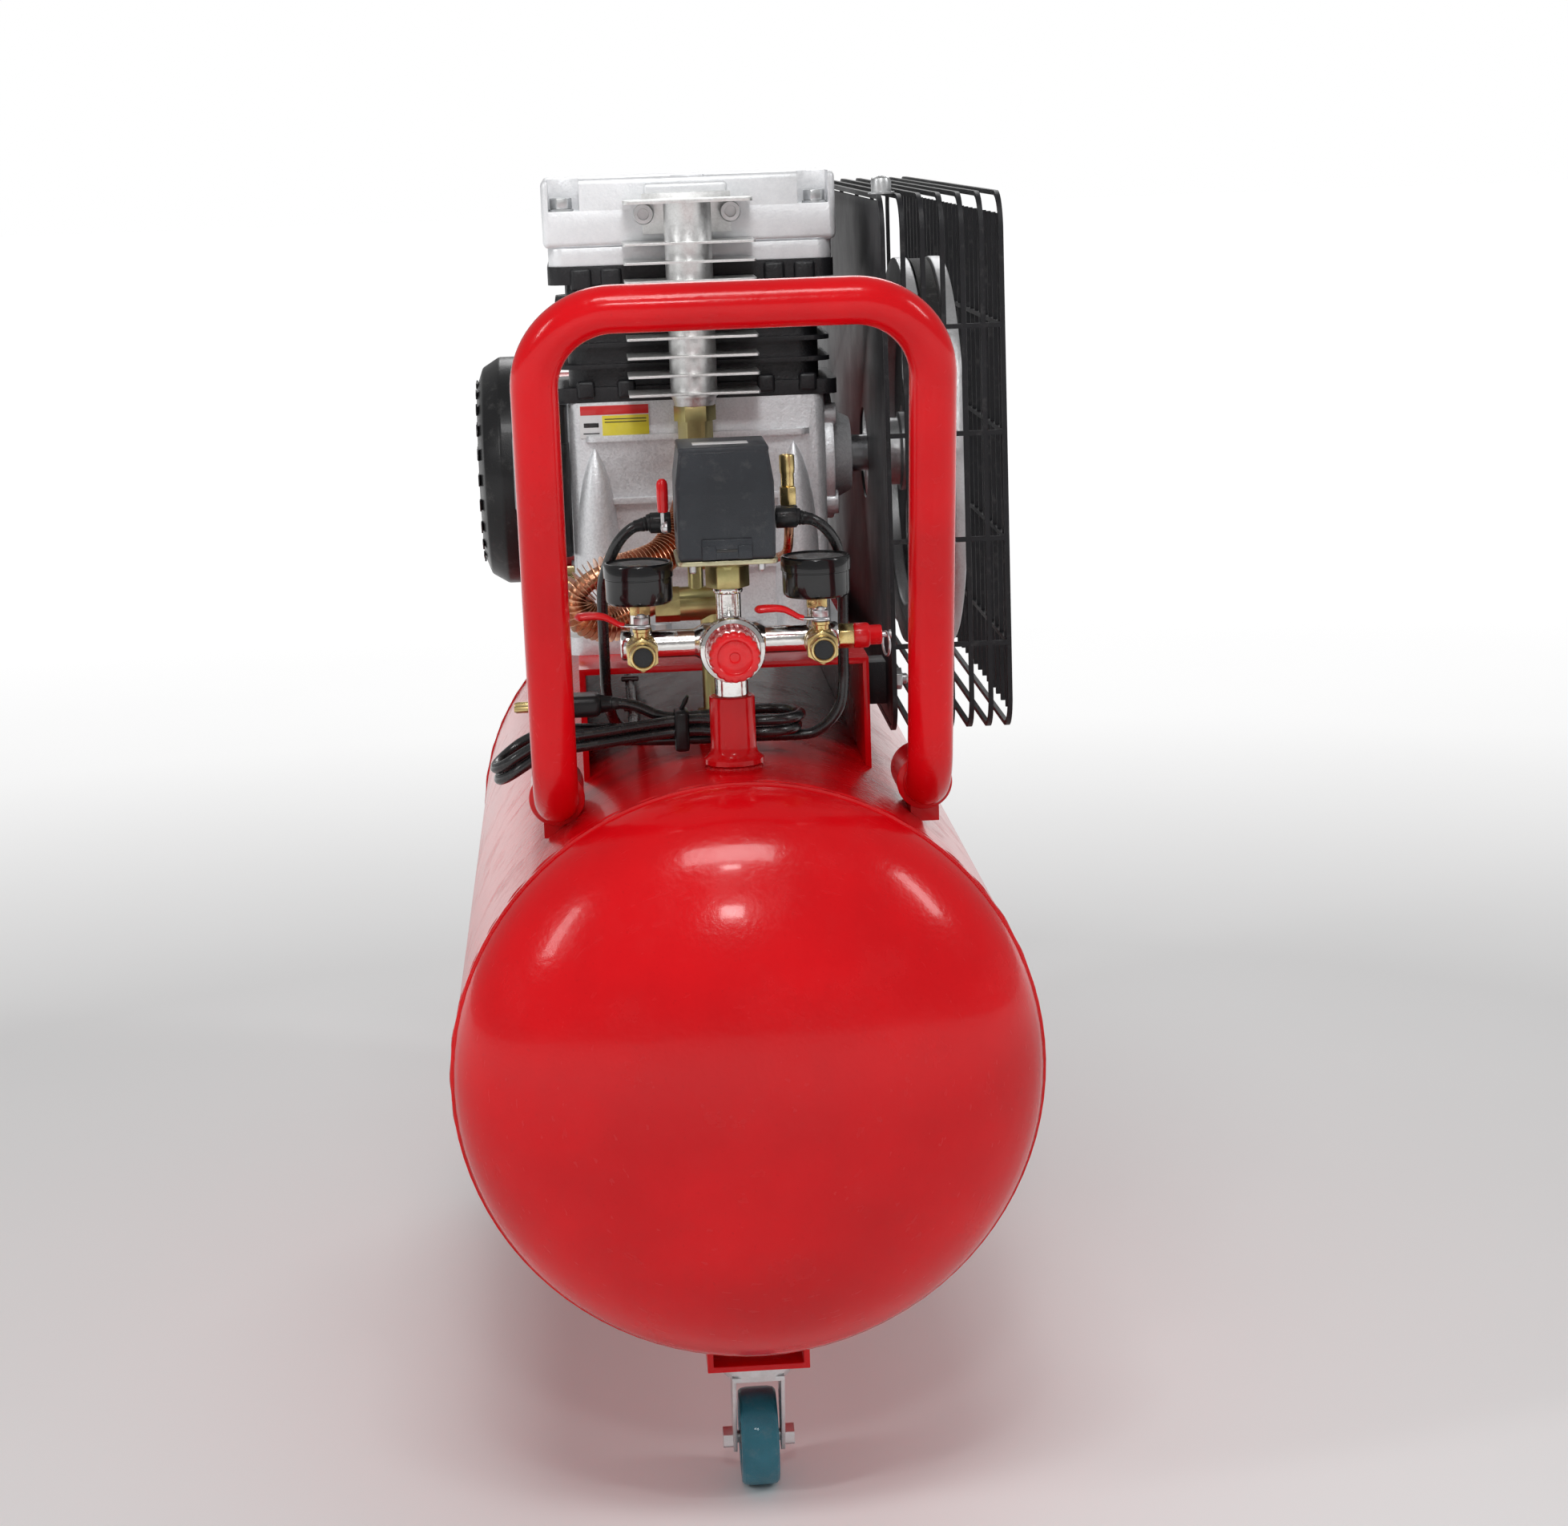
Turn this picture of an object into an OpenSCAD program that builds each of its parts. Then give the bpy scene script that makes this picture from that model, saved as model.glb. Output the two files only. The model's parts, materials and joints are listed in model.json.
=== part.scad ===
// Belt-driven two-cylinder air compressor on a horizontal tank.
// +Z is up, +Y runs along the tank from the handle end to the rear wheels, and
// the origin is on the floor under the middle of the tank.

/* [Tank] */
// Outer diameter of the tank
tank_d = 368; // [364:1:369]
// Diameter over the weld beads
bead_d = 370; // [370:1:372]
// Length of the shell between the two weld seams
shell_len = 806; // [780:2:830]
// Wall thickness of the shell and the heads
tank_wall = 3; // [2:0.5:6]
// Height of the tank axis above the floor
tank_z = 303; // [300:1:306]
// Depth of each domed head
head_depth = 92; // [80:1:110]

/* [Handle] */
// Outer diameter of the handle tube
handle_tube_d = 28; // [26:1:28]
// Distance between the leg centres
handle_w = 232; // [226:2:234]
// Sideways offset of the handle from the tank's middle
handle_x = 4; // [0:1:5]
// Length of the sloping legs, from the lower bend to the bar's centre
handle_leg = 292; // [240:2:320]
// Forward lean of the legs, in degrees
handle_lean = 16; // [8:1:20]
// Centreline radius of the upper bends
handle_bend = 47; // [40:1:60]

/* [Platform] */
// Height of the platform's top face
deck_z = 535; // [533:1:537]
// Width of the platform
deck_w = 190; // [188:1:191]
// Sheet thickness
deck_t = 4; // [3:0.5:5]

/* [Pump] */
// Height of the crankshaft axis
crank_z = 656; // [654:1:658]
// Cylinder bore
bore_d = 51; // [47:1:52]
// Throw of each crank pin
crank_throw = 14; // [10:1:15]
// Outer diameter of the flywheel
flywheel_d = 264; // [250:2:270]

/* [Motor] */
// Height of the motor axis
motor_z = 615; // [613:1:617]
// Outer diameter of the stator housing
motor_d = 152; // [144:1:154]
// Outer diameter of the motor pulley
pulley_d = 92; // [84:2:96]

/* [Wheels] */
// Diameter of the rear wheels
wheel_d = 150; // [140:2:152]
// Width of the rear wheels
wheel_w = 36; // [30:1:38]
// Diameter of the caster wheel
caster_d = 64; // [60:1:66]
// Width of the caster wheel
caster_w = 26; // [22:1:27]

/* [Controls] */
// Diameter of the pressure gauges
gauge_d = 42; // [38:1:44]
// Sideways distance of the gauges and valves from the middle
outlet_x = 55; // [53:1:57]
// Height of the manifold axis
manifold_z = 566; // [565:1:567]

/* [Hidden] */

$fn = 48;
eps = 1;
red = "#b01010";
black = "#151517";
silver = "#c9ccd0";
chrome = "#dfe3e6";
brass = "#c8a24a";
copper = "#b8704a";
zinc = "#b9bcc0";

tank_r = tank_d / 2;
seam_y = shell_len / 2;
bead_w = 6;
running_gap = 0.05;

// Handle and its sockets
socket_front_y = -346;
socket_len = 46;
socket_d = 34;
socket_z = tank_z + sqrt(pow(tank_r + socket_d / 2, 2) - pow(handle_w / 2 - handle_x, 2));
lower_bend = 40;
lower_turn = 90 - handle_lean;
tube_wall = 2;

// Platform
deck_front_y = -250;
deck_back_y = 345;

// Pump
pump_x = -9;
pump_y = -120;
case_w = 172;
case_l = 110;
case_top_z = 702;
block_top_z = 792;
plate_t = 12;
head_h = 46;
head_w = 194;
cylinder_x = 48;
journal_d = 25;
pin_d = 18;
case_right_x = pump_x + case_w / 2;
case_left_x = pump_x - case_w / 2;

// Belt drive
motor_y = 250;
belt_x = 147;
flywheel_w = 32;
pulley_w = 24;
flywheel_belt_r = flywheel_d / 2 - 5;
pulley_belt_r = pulley_d / 2 - 5;
motor_shaft_d = 19;
motor_left_x = -112;
motor_right_x = 48;

// Guard
guard_x = 107;
guard_right_x = 185;
guard_corner = 24;
guard_front_y = -285;
guard_back_y = 330;
guard_low_z = 488;
guard_top_z = 834;
wire = 3;

// Front column of fittings
column_y = -350;
column_x = 0;
switch_x = -1;
cord_d = 7;

// Caster and rear wheels
caster_y = -345;
caster_offset = 12;
bracket_z = 96;
axle_y = 300;
axle_d = 16;
wheel_x = 143;

// Points for the swept tubes are round numbers along each pipe's or cord's real route
function unit(v) = v / max(norm(v), 1e-9);
function tangent(p, i) = unit(p[min(i + 1, len(p) - 1)] - p[max(i - 1, 0)]);
function flatten(rows) = [for (row = rows) for (item = row) item];

// Catmull-Rom curve through the points, with n steps per stretch
function spline_at(a, b, c, d, t) = 0.5 * ((2 * b) + (c - a) * t + (2 * a - 5 * b + 4 * c - d) * t * t
    + (3 * b - a - 3 * c + d) * t * t * t);
function smooth(p, n) = let (last = len(p) - 1) concat(
    [for (i = [0:last - 1]) for (j = [0:n - 1])
        spline_at(p[max(i - 1, 0)], p[i], p[i + 1], p[min(i + 2, last)], j / n)],
    [p[last]]);

// One closed tube along p, with a radius for every ring; the frame is carried along the path
function next_side(side, t) = unit(side - (side * t) * t);
function sides_along(p, i, side) = i >= len(p) ? []
    : let (s = next_side(side, tangent(p, i))) concat([s], sides_along(p, i + 1, s));
module swept_tube(p, radii, sides = 10, start_side = [1, 0.01, 0.02]) {
    rings = len(p);
    across = sides_along(p, 0, start_side);
    points = [for (i = [0:rings - 1]) let (t = tangent(p, i), u = across[i], v = cross(t, u))
        for (k = [0:sides - 1]) p[i] + radii[i] * (cos(360 * k / sides) * u + sin(360 * k / sides) * v)];
    walls = [for (i = [0:rings - 2]) for (k = [0:sides - 1])
        let (a = i * sides + k, b = i * sides + (k + 1) % sides) [a, a + sides, b + sides, b]];
    start_cap = [for (k = [0:sides - 1]) k];
    end_cap = [for (k = [0:sides - 1]) (rings - 1) * sides + sides - 1 - k];
    polyhedron(points, concat(walls, [start_cap, end_cap]), convexity = 8);
}
function same(value, n) = [for (i = [1:n]) value];

module along_x(x, y, z) translate([x, y, z]) rotate([0, 90, 0]) children();
module along_y(x, y, z) translate([x, y, z]) rotate([-90, 0, 0]) children();
module to_front(x, y, z) translate([x, y, z]) rotate([90, 0, 0]) children();
module ring(d_out, d_in, h) difference() {
    cylinder(d = d_out, h = h);
    translate([0, 0, -eps]) cylinder(d = d_in, h = h + 2 * eps);
}
module hex(flats, h) cylinder(d = flats / cos(30), h = h, $fn = 6);
module box(x0, x1, y0, y1, z0, z1) translate([x0, y0, z0]) cube([x1 - x0, y1 - y0, z1 - z0]);
module slab(x, y, h, corner) linear_extrude(height = h) {
    square([x - 2 * corner, y], center = true);
    square([x, y - 2 * corner], center = true);
    for (sx = [-1, 1], sy = [-1, 1])
        translate([sx * (x / 2 - corner), sy * (y / 2 - corner)]) circle(corner);
}
module tank_solid()
    to_front(0, seam_y + eps, tank_z) cylinder(r = tank_r, h = shell_len + 2 * eps, $fn = 96);

// ---- Tank ----
riser_bore = 20;
check_port = [-6, -266];
drain_bore = 14;
check_bore = 16;
tank_top_z = tank_z + tank_r;
module tank_shell() color(red) difference() {
    to_front(0, seam_y, tank_z) ring(tank_d, tank_d - 2 * tank_wall, shell_len, $fn = 96);
    port_holes(tank_z);
}

dome_steps = 14;
function dome_arc(r, depth) =
    [for (i = [0:dome_steps]) [r * cos(90 * i / dome_steps), depth * sin(90 * i / dome_steps)]];
function backwards(p) = [for (i = [len(p) - 1:-1:0]) p[i]];
module dome() {
    inner_r = tank_r - tank_wall;
    rotate_extrude($fn = 96) polygon(concat(dome_arc(tank_r, head_depth),
        backwards(dome_arc(inner_r, head_depth - tank_wall))));
    ring(bead_d, 2 * inner_r, bead_w, $fn = 96);
}
module tank_heads() color(red) {
    to_front(0, -seam_y, tank_z) dome();
    along_y(0, seam_y, tank_z) dome();
}

riser_top_z = 531;
module port_holes(z) {
    translate([column_x, column_y, z]) cylinder(d = riser_bore, h = 2 * tank_r);
    translate([check_port[0], check_port[1], z]) cylinder(d = check_bore, h = 2 * tank_r);
    translate([0, 0, z - 2 * tank_r]) cylinder(d = drain_bore, h = 2 * tank_r);
}
// Riser, port bosses and the two handle sockets, all welded to the tank
module tank_weldments() color(red) difference() {
    union() {
        translate([column_x, column_y, tank_top_z - 8]) cylinder(r1 = 22, r2 = 15, h = 12);
        translate([column_x, column_y, tank_top_z - 8]) cylinder(d = 28, h = riser_top_z - tank_top_z + 8);
        translate([check_port[0], check_port[1], tank_top_z - 6]) cylinder(d = 26, h = 14);
        translate([0, 0, tank_z - tank_r - 6]) cylinder(d = 26, h = 14);
        for (x = leg_xs) {
            along_y(x, socket_front_y + 2, socket_z) cylinder(d = socket_d, h = socket_len);
            box(x - 9, x + 9, socket_front_y + 4, socket_front_y + socket_len, socket_z - 26, socket_z);
        }
    }
    tank_solid();
    port_holes(tank_z);
    for (x = leg_xs)
        along_y(x, socket_front_y - eps, socket_z) cylinder(d = handle_tube_d, h = socket_len - 5 + eps);
}

// ---- Handle ----
module bent_tube(radius, angle, tube_d) rotate_extrude(angle = angle) translate([radius, 0]) difference() {
    circle(d = tube_d);
    circle(d = tube_d - 2 * tube_wall);
}
module straight_tube(tube_d, length) ring(tube_d, tube_d - 2 * tube_wall, length);
function bend_end() =
    [socket_front_y - lower_bend * sin(lower_turn), socket_z + lower_bend * (1 - cos(lower_turn))];
leg_xs = [handle_x - handle_w / 2, handle_x + handle_w / 2];
module handle() color(red) {
    half = handle_w / 2;
    for (x = leg_xs) {
        along_y(x, socket_front_y, socket_z) straight_tube(handle_tube_d, socket_len - 6);
        translate([x, socket_front_y, socket_z + lower_bend]) rotate([0, -90, 0]) rotate([0, 0, 180])
            bent_tube(lower_bend, lower_turn, handle_tube_d);
    }
    translate([handle_x, bend_end()[0], bend_end()[1]]) rotate([90 + handle_lean, 0, 0]) {
        for (side = [-1, 1]) {
            translate([side * half, 0, 0]) rotate([-90, 0, 0])
                straight_tube(handle_tube_d, handle_leg - handle_bend);
            translate([side * (half - handle_bend), handle_leg - handle_bend, 0])
                rotate([0, 0, 45 - 45 * side])
                bent_tube(handle_bend, 90, handle_tube_d);
        }
        along_x(handle_bend - half, handle_leg, 0) straight_tube(handle_tube_d, handle_w - 2 * handle_bend);
    }
}

// ---- Platform ----
pump_bolt_x = 30;
pump_bolt_y = 64;
cable_hole = [-80, 143];
motor_bolt_x = [-92, 28];
motor_bolt_y = 62;
bolt_hole = 8.6;
module platform() color(red) difference() {
    box(-deck_w / 2, deck_w / 2, deck_front_y, deck_back_y, tank_z, deck_z);
    box(-deck_w / 2 + deck_t, deck_w / 2 - deck_t, deck_front_y - eps, deck_back_y + eps,
        tank_z - eps, deck_z - deck_t);
    tank_solid();
    to_front(0, 2 * seam_y, tank_z) cylinder(r = tank_r - eps, h = 4 * seam_y);
    for (x = [-1, 1], y = [-1, 1])
        translate([pump_x + x * pump_bolt_x, pump_y + y * pump_bolt_y, deck_z - 20])
        cylinder(d = bolt_hole, h = 40);
    for (x = motor_bolt_x, y = [-1, 1]) translate([x, motor_y + y * motor_bolt_y, deck_z - 20])
        cylinder(d = bolt_hole, h = 40);
    translate([cable_hole[0], cable_hole[1], deck_z - 20]) cylinder(d = 12, h = 40);
}

// ---- Brackets, caster and rear wheels ----
channel_w = 66;
module wheel_brackets() color(red) {
    difference() {
        box(-channel_w / 2, channel_w / 2, caster_y - 35, caster_y + 35, bracket_z, 160);
        box(-channel_w / 2 + 4, channel_w / 2 - 4, caster_y - 36, caster_y + 36, bracket_z + 4, 161);
        tank_solid();
        translate([0, caster_y, bracket_z - eps]) cylinder(d = 10.1, h = 10);
    }
    difference() {
        for (side = [-1, 1])
            box(side * 96 - 4, side * 96 + 4, axle_y - 30, axle_y + 30, wheel_d / 2 - 18, 180);
        tank_solid();
        along_x(-120, axle_y, wheel_d / 2) cylinder(d = axle_d, h = 240);
    }
}
module rear_axle() color(zinc) {
    along_x(-wheel_x - 22, axle_y, wheel_d / 2) cylinder(d = axle_d, h = 2 * wheel_x + 44);
    for (x = [-163, -122, 122, 163])
        along_x(x - 1.5, axle_y, wheel_d / 2) ring(26, axle_d, 3);
}
// Swivel head, bent fork with the trailing axle, and the axle bolt
caster_axle_y = caster_y + caster_offset;
fork_inner = caster_w / 2 + 1.5;
module caster_fork() color(zinc) difference() {
    union() {
        translate([0, caster_y, bracket_z - 8.3]) cylinder(d = 50, h = 8);
        translate([0, caster_y, bracket_z - 13]) cylinder(d = 44, h = 6);
        translate([0, caster_y, bracket_z - 8.3]) cylinder(d = 10, h = 21);
        translate([0, caster_y, bracket_z + 4.3]) hex(16, 7);
        for (side = [-1, 1]) hull() {
            box(side * (fork_inner + 1.25) - 1.25, side * (fork_inner + 1.25) + 1.25,
                caster_y - 19, caster_y + 19, bracket_z - 14, bracket_z - 12);
            along_x(side * (fork_inner + 1.25) - 1.25, caster_axle_y, caster_d / 2)
                cylinder(d = 20, h = 2.5, $fn = 32);
        }
        box(-fork_inner - 2.5, fork_inner + 2.5, caster_y - 19, caster_y + 19,
            bracket_z - 14, bracket_z - 11);
        along_x(-fork_inner - 9, caster_axle_y, caster_d / 2) cylinder(d = 8, h = 2 * fork_inner + 18);
        along_x(-fork_inner - 9, caster_axle_y, caster_d / 2) hex(13, 6.5);
        along_x(fork_inner + 2.5, caster_axle_y, caster_d / 2) hex(13, 6.5);
    }
}
// A wheel as one turned solid: tyre, web and hub around a plain bore
module turned_wheel(d, w, bore, hub_d, web, rim) rotate_extrude($fn = 64) polygon([
    [bore / 2, -w / 2], [hub_d / 2, -w / 2], [hub_d / 2, -web / 2], [d / 2 - rim, -web / 2],
    [d / 2 - rim, -w / 2 + 2], [d / 2 - 4, -w / 2 + 1], [d / 2, -w / 2 + 6],
    [d / 2, w / 2 - 6], [d / 2 - 4, w / 2 - 1], [d / 2 - rim, w / 2 - 2],
    [d / 2 - rim, web / 2], [hub_d / 2, web / 2], [hub_d / 2, w / 2], [bore / 2, w / 2]]);
module caster_wheel() color("#4d8fa6") along_x(0, caster_axle_y, caster_d / 2)
    turned_wheel(caster_d, caster_w, 8 + 2 * running_gap, 22, 12, 12);
module rear_wheel(side) along_x(side * wheel_x, axle_y, wheel_d / 2)
    turned_wheel(wheel_d, wheel_w, axle_d + 2 * running_gap, 40, 16, 32);
module rear_wheel_left() color(black) rear_wheel(-1);
module rear_wheel_right() color(black) rear_wheel(1);

// ---- Pump ----
rib_xs = [-69, 64];
rib_outline = [[0, 0], [15, 0], [15, 55], [14, 75], [12, 93], [9, 109], [6, 119], [2.5, 127], [0, 131]];
module crankcase() color(silver) difference() {
    union() {
        translate([pump_x, pump_y, deck_z]) slab(188, 146, 12, 12);
        translate([pump_x, pump_y, deck_z]) slab(case_w, case_l, case_top_z - deck_z, 8);
        for (x = rib_xs) translate([pump_x + x, pump_y - case_l / 2, deck_z + 6]) {
            rotate_extrude() polygon(rib_outline);
        }
        for (z = [588, 634, 676]) translate([pump_x, pump_y, z]) slab(case_w - 20, case_l + 8, 4, 8);
    }
    translate([pump_x, pump_y, deck_z + 10]) slab(case_w - 18, case_l - 18, case_top_z, 6);
    along_x(case_left_x - 20, pump_y, crank_z) cylinder(d = 52, h = case_w + 40);
    for (x = [-1, 1], y = [-1, 1])
        translate([pump_x + x * pump_bolt_x, pump_y + y * pump_bolt_y, deck_z - eps])
        cylinder(d = bolt_hole, h = 12 + 2 * eps);
}
module bearing_housing() color(silver) {
    difference() {
        union() {
            along_x(case_right_x, pump_y, crank_z) cylinder(d = 88, h = 7);
            along_x(case_right_x, pump_y, crank_z) cylinder(d1 = 70, d2 = 50, h = 20);
            for (a = [45:90:359])
                along_x(case_right_x, pump_y + 42 * cos(a), crank_z + 42 * sin(a)) cylinder(d = 16, h = 9);
        }
        along_x(case_right_x - eps, pump_y, crank_z) cylinder(d = journal_d + 2, h = 40);
    }
    difference() {
        along_x(case_left_x - 8, pump_y, crank_z) cylinder(d = 84, h = 8);
        along_x(case_left_x - 4, pump_y, crank_z) cylinder(d = journal_d + 2, h = 10);
    }
}
bearing_w = 9;
module main_bearings() color(chrome)
    for (x = [case_left_x, case_right_x - bearing_w]) along_x(x, pump_y, crank_z)
        ring(52, journal_d + 2 * running_gap, bearing_w);
// Full disc webs keep the crankshaft clear of the case at every angle
web_r = 34;
module crankshaft() color("#8f9296") {
    shaft_end = belt_x + flywheel_w / 2;
    union() {
        along_x(case_left_x - 2, pump_y, crank_z) cylinder(d = journal_d, h = 24);
        along_x(pump_x + 64, pump_y, crank_z) cylinder(d = journal_d, h = shaft_end - pump_x - 64);
        along_x(pump_x - 24, pump_y, crank_z) cylinder(d = journal_d, h = 48);
        for (side = [-1, 1]) {
            for (w = [-14, 8])
                along_x(pump_x + side * cylinder_x + w, pump_y, crank_z) cylinder(r = web_r, h = 6);
            along_x(pump_x + side * cylinder_x - 10, pump_y, crank_z + side * crank_throw)
                cylinder(d = pin_d, h = 20);
            for (w = [-28, 14])
                along_x(pump_x + side * cylinder_x + w, pump_y, crank_z) cylinder(d = journal_d, h = 14);
        }
    }
}
piston_z = 742;
gudgeon_d = 12;
gudgeon_z = piston_z + 12;
rod_foot_z = crank_z + web_r + 2;
module connecting_rods() color(zinc) for (side = [-1, 1]) {
    difference() {
        union() {
            along_x(pump_x + side * cylinder_x - 6, pump_y, gudgeon_z) cylinder(d = 20, h = 12);
            box(pump_x + side * cylinder_x - 4, pump_x + side * cylinder_x + 4, pump_y - 7, pump_y + 7,
                rod_foot_z, gudgeon_z - 4);
        }
        along_x(pump_x + side * cylinder_x - 7, pump_y, gudgeon_z) cylinder(d = gudgeon_d, h = 14);
    }
    along_x(pump_x + side * cylinder_x - 23, pump_y, gudgeon_z) cylinder(d = gudgeon_d, h = 46);
}
module pistons() color(silver) for (side = [-1, 1]) difference() {
    translate([pump_x + side * cylinder_x, pump_y, piston_z]) cylinder(d = bore_d - 0.2, h = 36);
    translate([pump_x + side * cylinder_x, pump_y, piston_z - eps]) cylinder(d = bore_d - 10, h = 29);
    for (z = [26, 31])
        translate([pump_x + side * cylinder_x, pump_y, piston_z + z]) ring(bore_d + 2, bore_d - 4, 2);
    along_x(pump_x + side * cylinder_x - 23, pump_y, gudgeon_z) cylinder(d = gudgeon_d, h = 46);
}
module bore_holes(z, h, d) for (side = [-1, 1])
    translate([pump_x + side * cylinder_x, pump_y, z]) cylinder(d = d, h = h);
head_bolt_d = 8;
function head_bolt_points() = [for (x = [-corner_x, 0, corner_x], y = [-corner_y, corner_y])
    [pump_x + x, pump_y + y]];
module head_bolt_holes(z, h) for (p = head_bolt_points())
    translate([p[0], p[1], z]) cylinder(d = head_bolt_d, h = h);
module cylinder_block() color(black) difference() {
    union() {
        translate([pump_x, pump_y, case_top_z]) slab(190, 110, 10, 10);
        translate([pump_x, pump_y, case_top_z]) slab(168, 94, block_top_z - case_top_z, 14);
        for (z = [724, 738, 752, 766]) translate([pump_x, pump_y, z]) slab(182, 106, 3, 12);
        translate([pump_x, pump_y, block_top_z - 12]) slab(190, 112, 12, 10);
    }
    bore_holes(case_top_z - eps, block_top_z, bore_d);
    head_bolt_holes(block_top_z - 30, 40);
}
module valve_plate() color(silver) difference() {
    translate([pump_x, pump_y, block_top_z]) slab(188, 110, plate_t, 10);
    head_bolt_holes(block_top_z - eps, plate_t + 2 * eps);
    for (side = [-1, 1], y = [-12, 12])
        translate([pump_x + side * cylinder_x, pump_y + y, block_top_z - eps])
        cylinder(d = 10, h = plate_t + 2 * eps);
}
head_z = block_top_z + plate_t;
seat_h = 28;
seat_d = 22;
corner_x = 84;
corner_y = 43;
module cylinder_head() color("#e4e7ea") difference() {
    union() {
        translate([pump_x, pump_y, head_z]) slab(head_w, 112, seat_h, 8);
        translate([pump_x, pump_y, head_z]) slab(head_w - 46, 108, head_h, 8);
    }
    for (side = [-1, 1]) translate([pump_x + side * cylinder_x, pump_y, head_z - eps]) slab(60, 70, 30, 6);
    head_bolt_holes(head_z - eps, head_h + 2 * eps);
    for (side = [-1, 1], y = [-1, 1])
        translate([pump_x + side * corner_x, pump_y + y * corner_y, head_z + seat_h])
            cylinder(d = seat_d, h = 40);
    along_y(cooler_x, pump_y - 70, 824) cylinder(d = 8, h = 50);
}
module head_bolts() color(zinc) for (p = head_bolt_points()) {
    head_top = head_z + (abs(p[0] - pump_x) > 1 ? seat_h : head_h);
    translate([p[0], p[1], block_top_z - 28]) cylinder(d = head_bolt_d, h = head_top - block_top_z + 28);
    translate([p[0], p[1], head_top]) hex(13, 7);
}
module oil_breather() color(zinc) {
    translate([case_left_x - 8, pump_y - 52.5, 600]) cylinder(d = 16, h = 76);
    translate([case_left_x - 8, pump_y - 52.5, 676]) cylinder(d = 15, h = 25);
}

// ---- Delivery line ----
cooler_x = -11;
cooler_y = -200;
cooler_d = 31;
module aftercooler() color(silver) difference() {
    union() {
        box(cooler_x - 29, cooler_x + 29, -190, pump_y - 56, 812, 838);
        translate([cooler_x, cooler_y, 706]) cylinder(d = cooler_d, h = 128);
        translate([cooler_x, cooler_y, 700]) cylinder(d1 = 26, d2 = cooler_d, h = 8);
        translate([cooler_x, cooler_y + 2, 832]) slab(84, 42, 2.5, 3);
        for (i = [0:8]) translate([cooler_x, cooler_y, 708 + i * 12.2]) slab(86, 44, 1.6, 2);
    }
    translate([cooler_x, cooler_y, 690]) cylinder(d = 10, h = 140);
    along_y(cooler_x, -200, 824) cylinder(d = 8, h = 60);
}
// A spiral-finned copper pipe: hub and fin radii alternate along a smooth route
fin_d = 24;
core_d = 12;
finned_route = [[-11, -200, 676], [-13, -206, 656], [-20, -226, 630], [-36, -256, 610], [-58, -272, 603],
    [-80, -280, 600], [-94, -281, 588], [-90, -279, 574], [-74, -273, 568], [-58, -267, 573],
    [-44, -266, 578]];
fin_steps = 12;
module finned_pipe() color(copper) {
    route = smooth(finned_route, fin_steps);
    radii = [for (i = [0:len(route) - 1])
        i < 6 || i > len(route) - 7 || i % 4 < 2 ? core_d / 2 : fin_d / 2];
    swept_tube(route, radii, 10);
}
check_z = 578;
module check_valve() color(brass) {
    translate([cooler_x, cooler_y, 690]) hex(24, 10);
    difference() {
        translate([cooler_x, cooler_y, 676]) hex(20, 14);
        translate([cooler_x, cooler_y, 680]) cylinder(d = 8, h = 20);
    }
    translate([check_port[0], check_port[1], tank_top_z + 8]) hex(22, 14);
    translate([check_port[0], check_port[1], tank_top_z + 22])
        cylinder(d = 18, h = check_z - tank_top_z - 22);
    along_x(-28, check_port[1], check_z) cylinder(d = 22, h = 30);
    along_x(-44, check_port[1], check_z) hex(20, 16);
    translate([-17, check_port[1], check_z]) cylinder(d = 10, h = 24);
    along_x(-17, check_port[1], 605) hex(9, 9);
}
unloader_route = [[-8, -266, 605], [8, -268, 605], [22, -274, 606], [34, -286, 608], [40, -304, 614],
    [41, -318, 626], [41, -322, 640]];
module unloader_tube() color(copper) swept_tube(smooth(unloader_route, 4), same(3, 25), 8);

// ---- Belt drive ----
module grooved_wheel(d, w, bore, hub_d, web, rim) rotate_extrude($fn = 64) polygon([
    [bore / 2, -w / 2], [hub_d / 2, -w / 2], [hub_d / 2, -web / 2], [d / 2 - rim, -web / 2],
    [d / 2 - rim, -w / 2], [d / 2, -w / 2], [d / 2, -7.5], [d / 2 - 13, -4.5],
    [d / 2 - 13, 4.5], [d / 2, 7.5], [d / 2, w / 2], [d / 2 - rim, w / 2],
    [d / 2 - rim, web / 2], [hub_d / 2, web / 2], [hub_d / 2, w / 2], [bore / 2, w / 2]]);
module flywheel() color(silver) {
    flywheel_disc();
    flywheel_hub();
}
module flywheel_disc() along_x(belt_x, pump_y, crank_z) difference() {
    grooved_wheel(flywheel_d, flywheel_w, journal_d, 54, 14, 26);
    for (a = [0:60:359]) rotate([0, 0, a + 30]) translate([67, 0, -20]) cylinder(d = 50, h = 40);
}
module flywheel_hub() along_x(112, pump_y, crank_z) ring(46, journal_d, belt_x - flywheel_w / 2 - 112);
module motor_pulley() color(zinc) along_x(belt_x, motor_y, motor_z)
    grooved_wheel(pulley_d, pulley_w, motor_shaft_d, 40, 14, 18);
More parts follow.
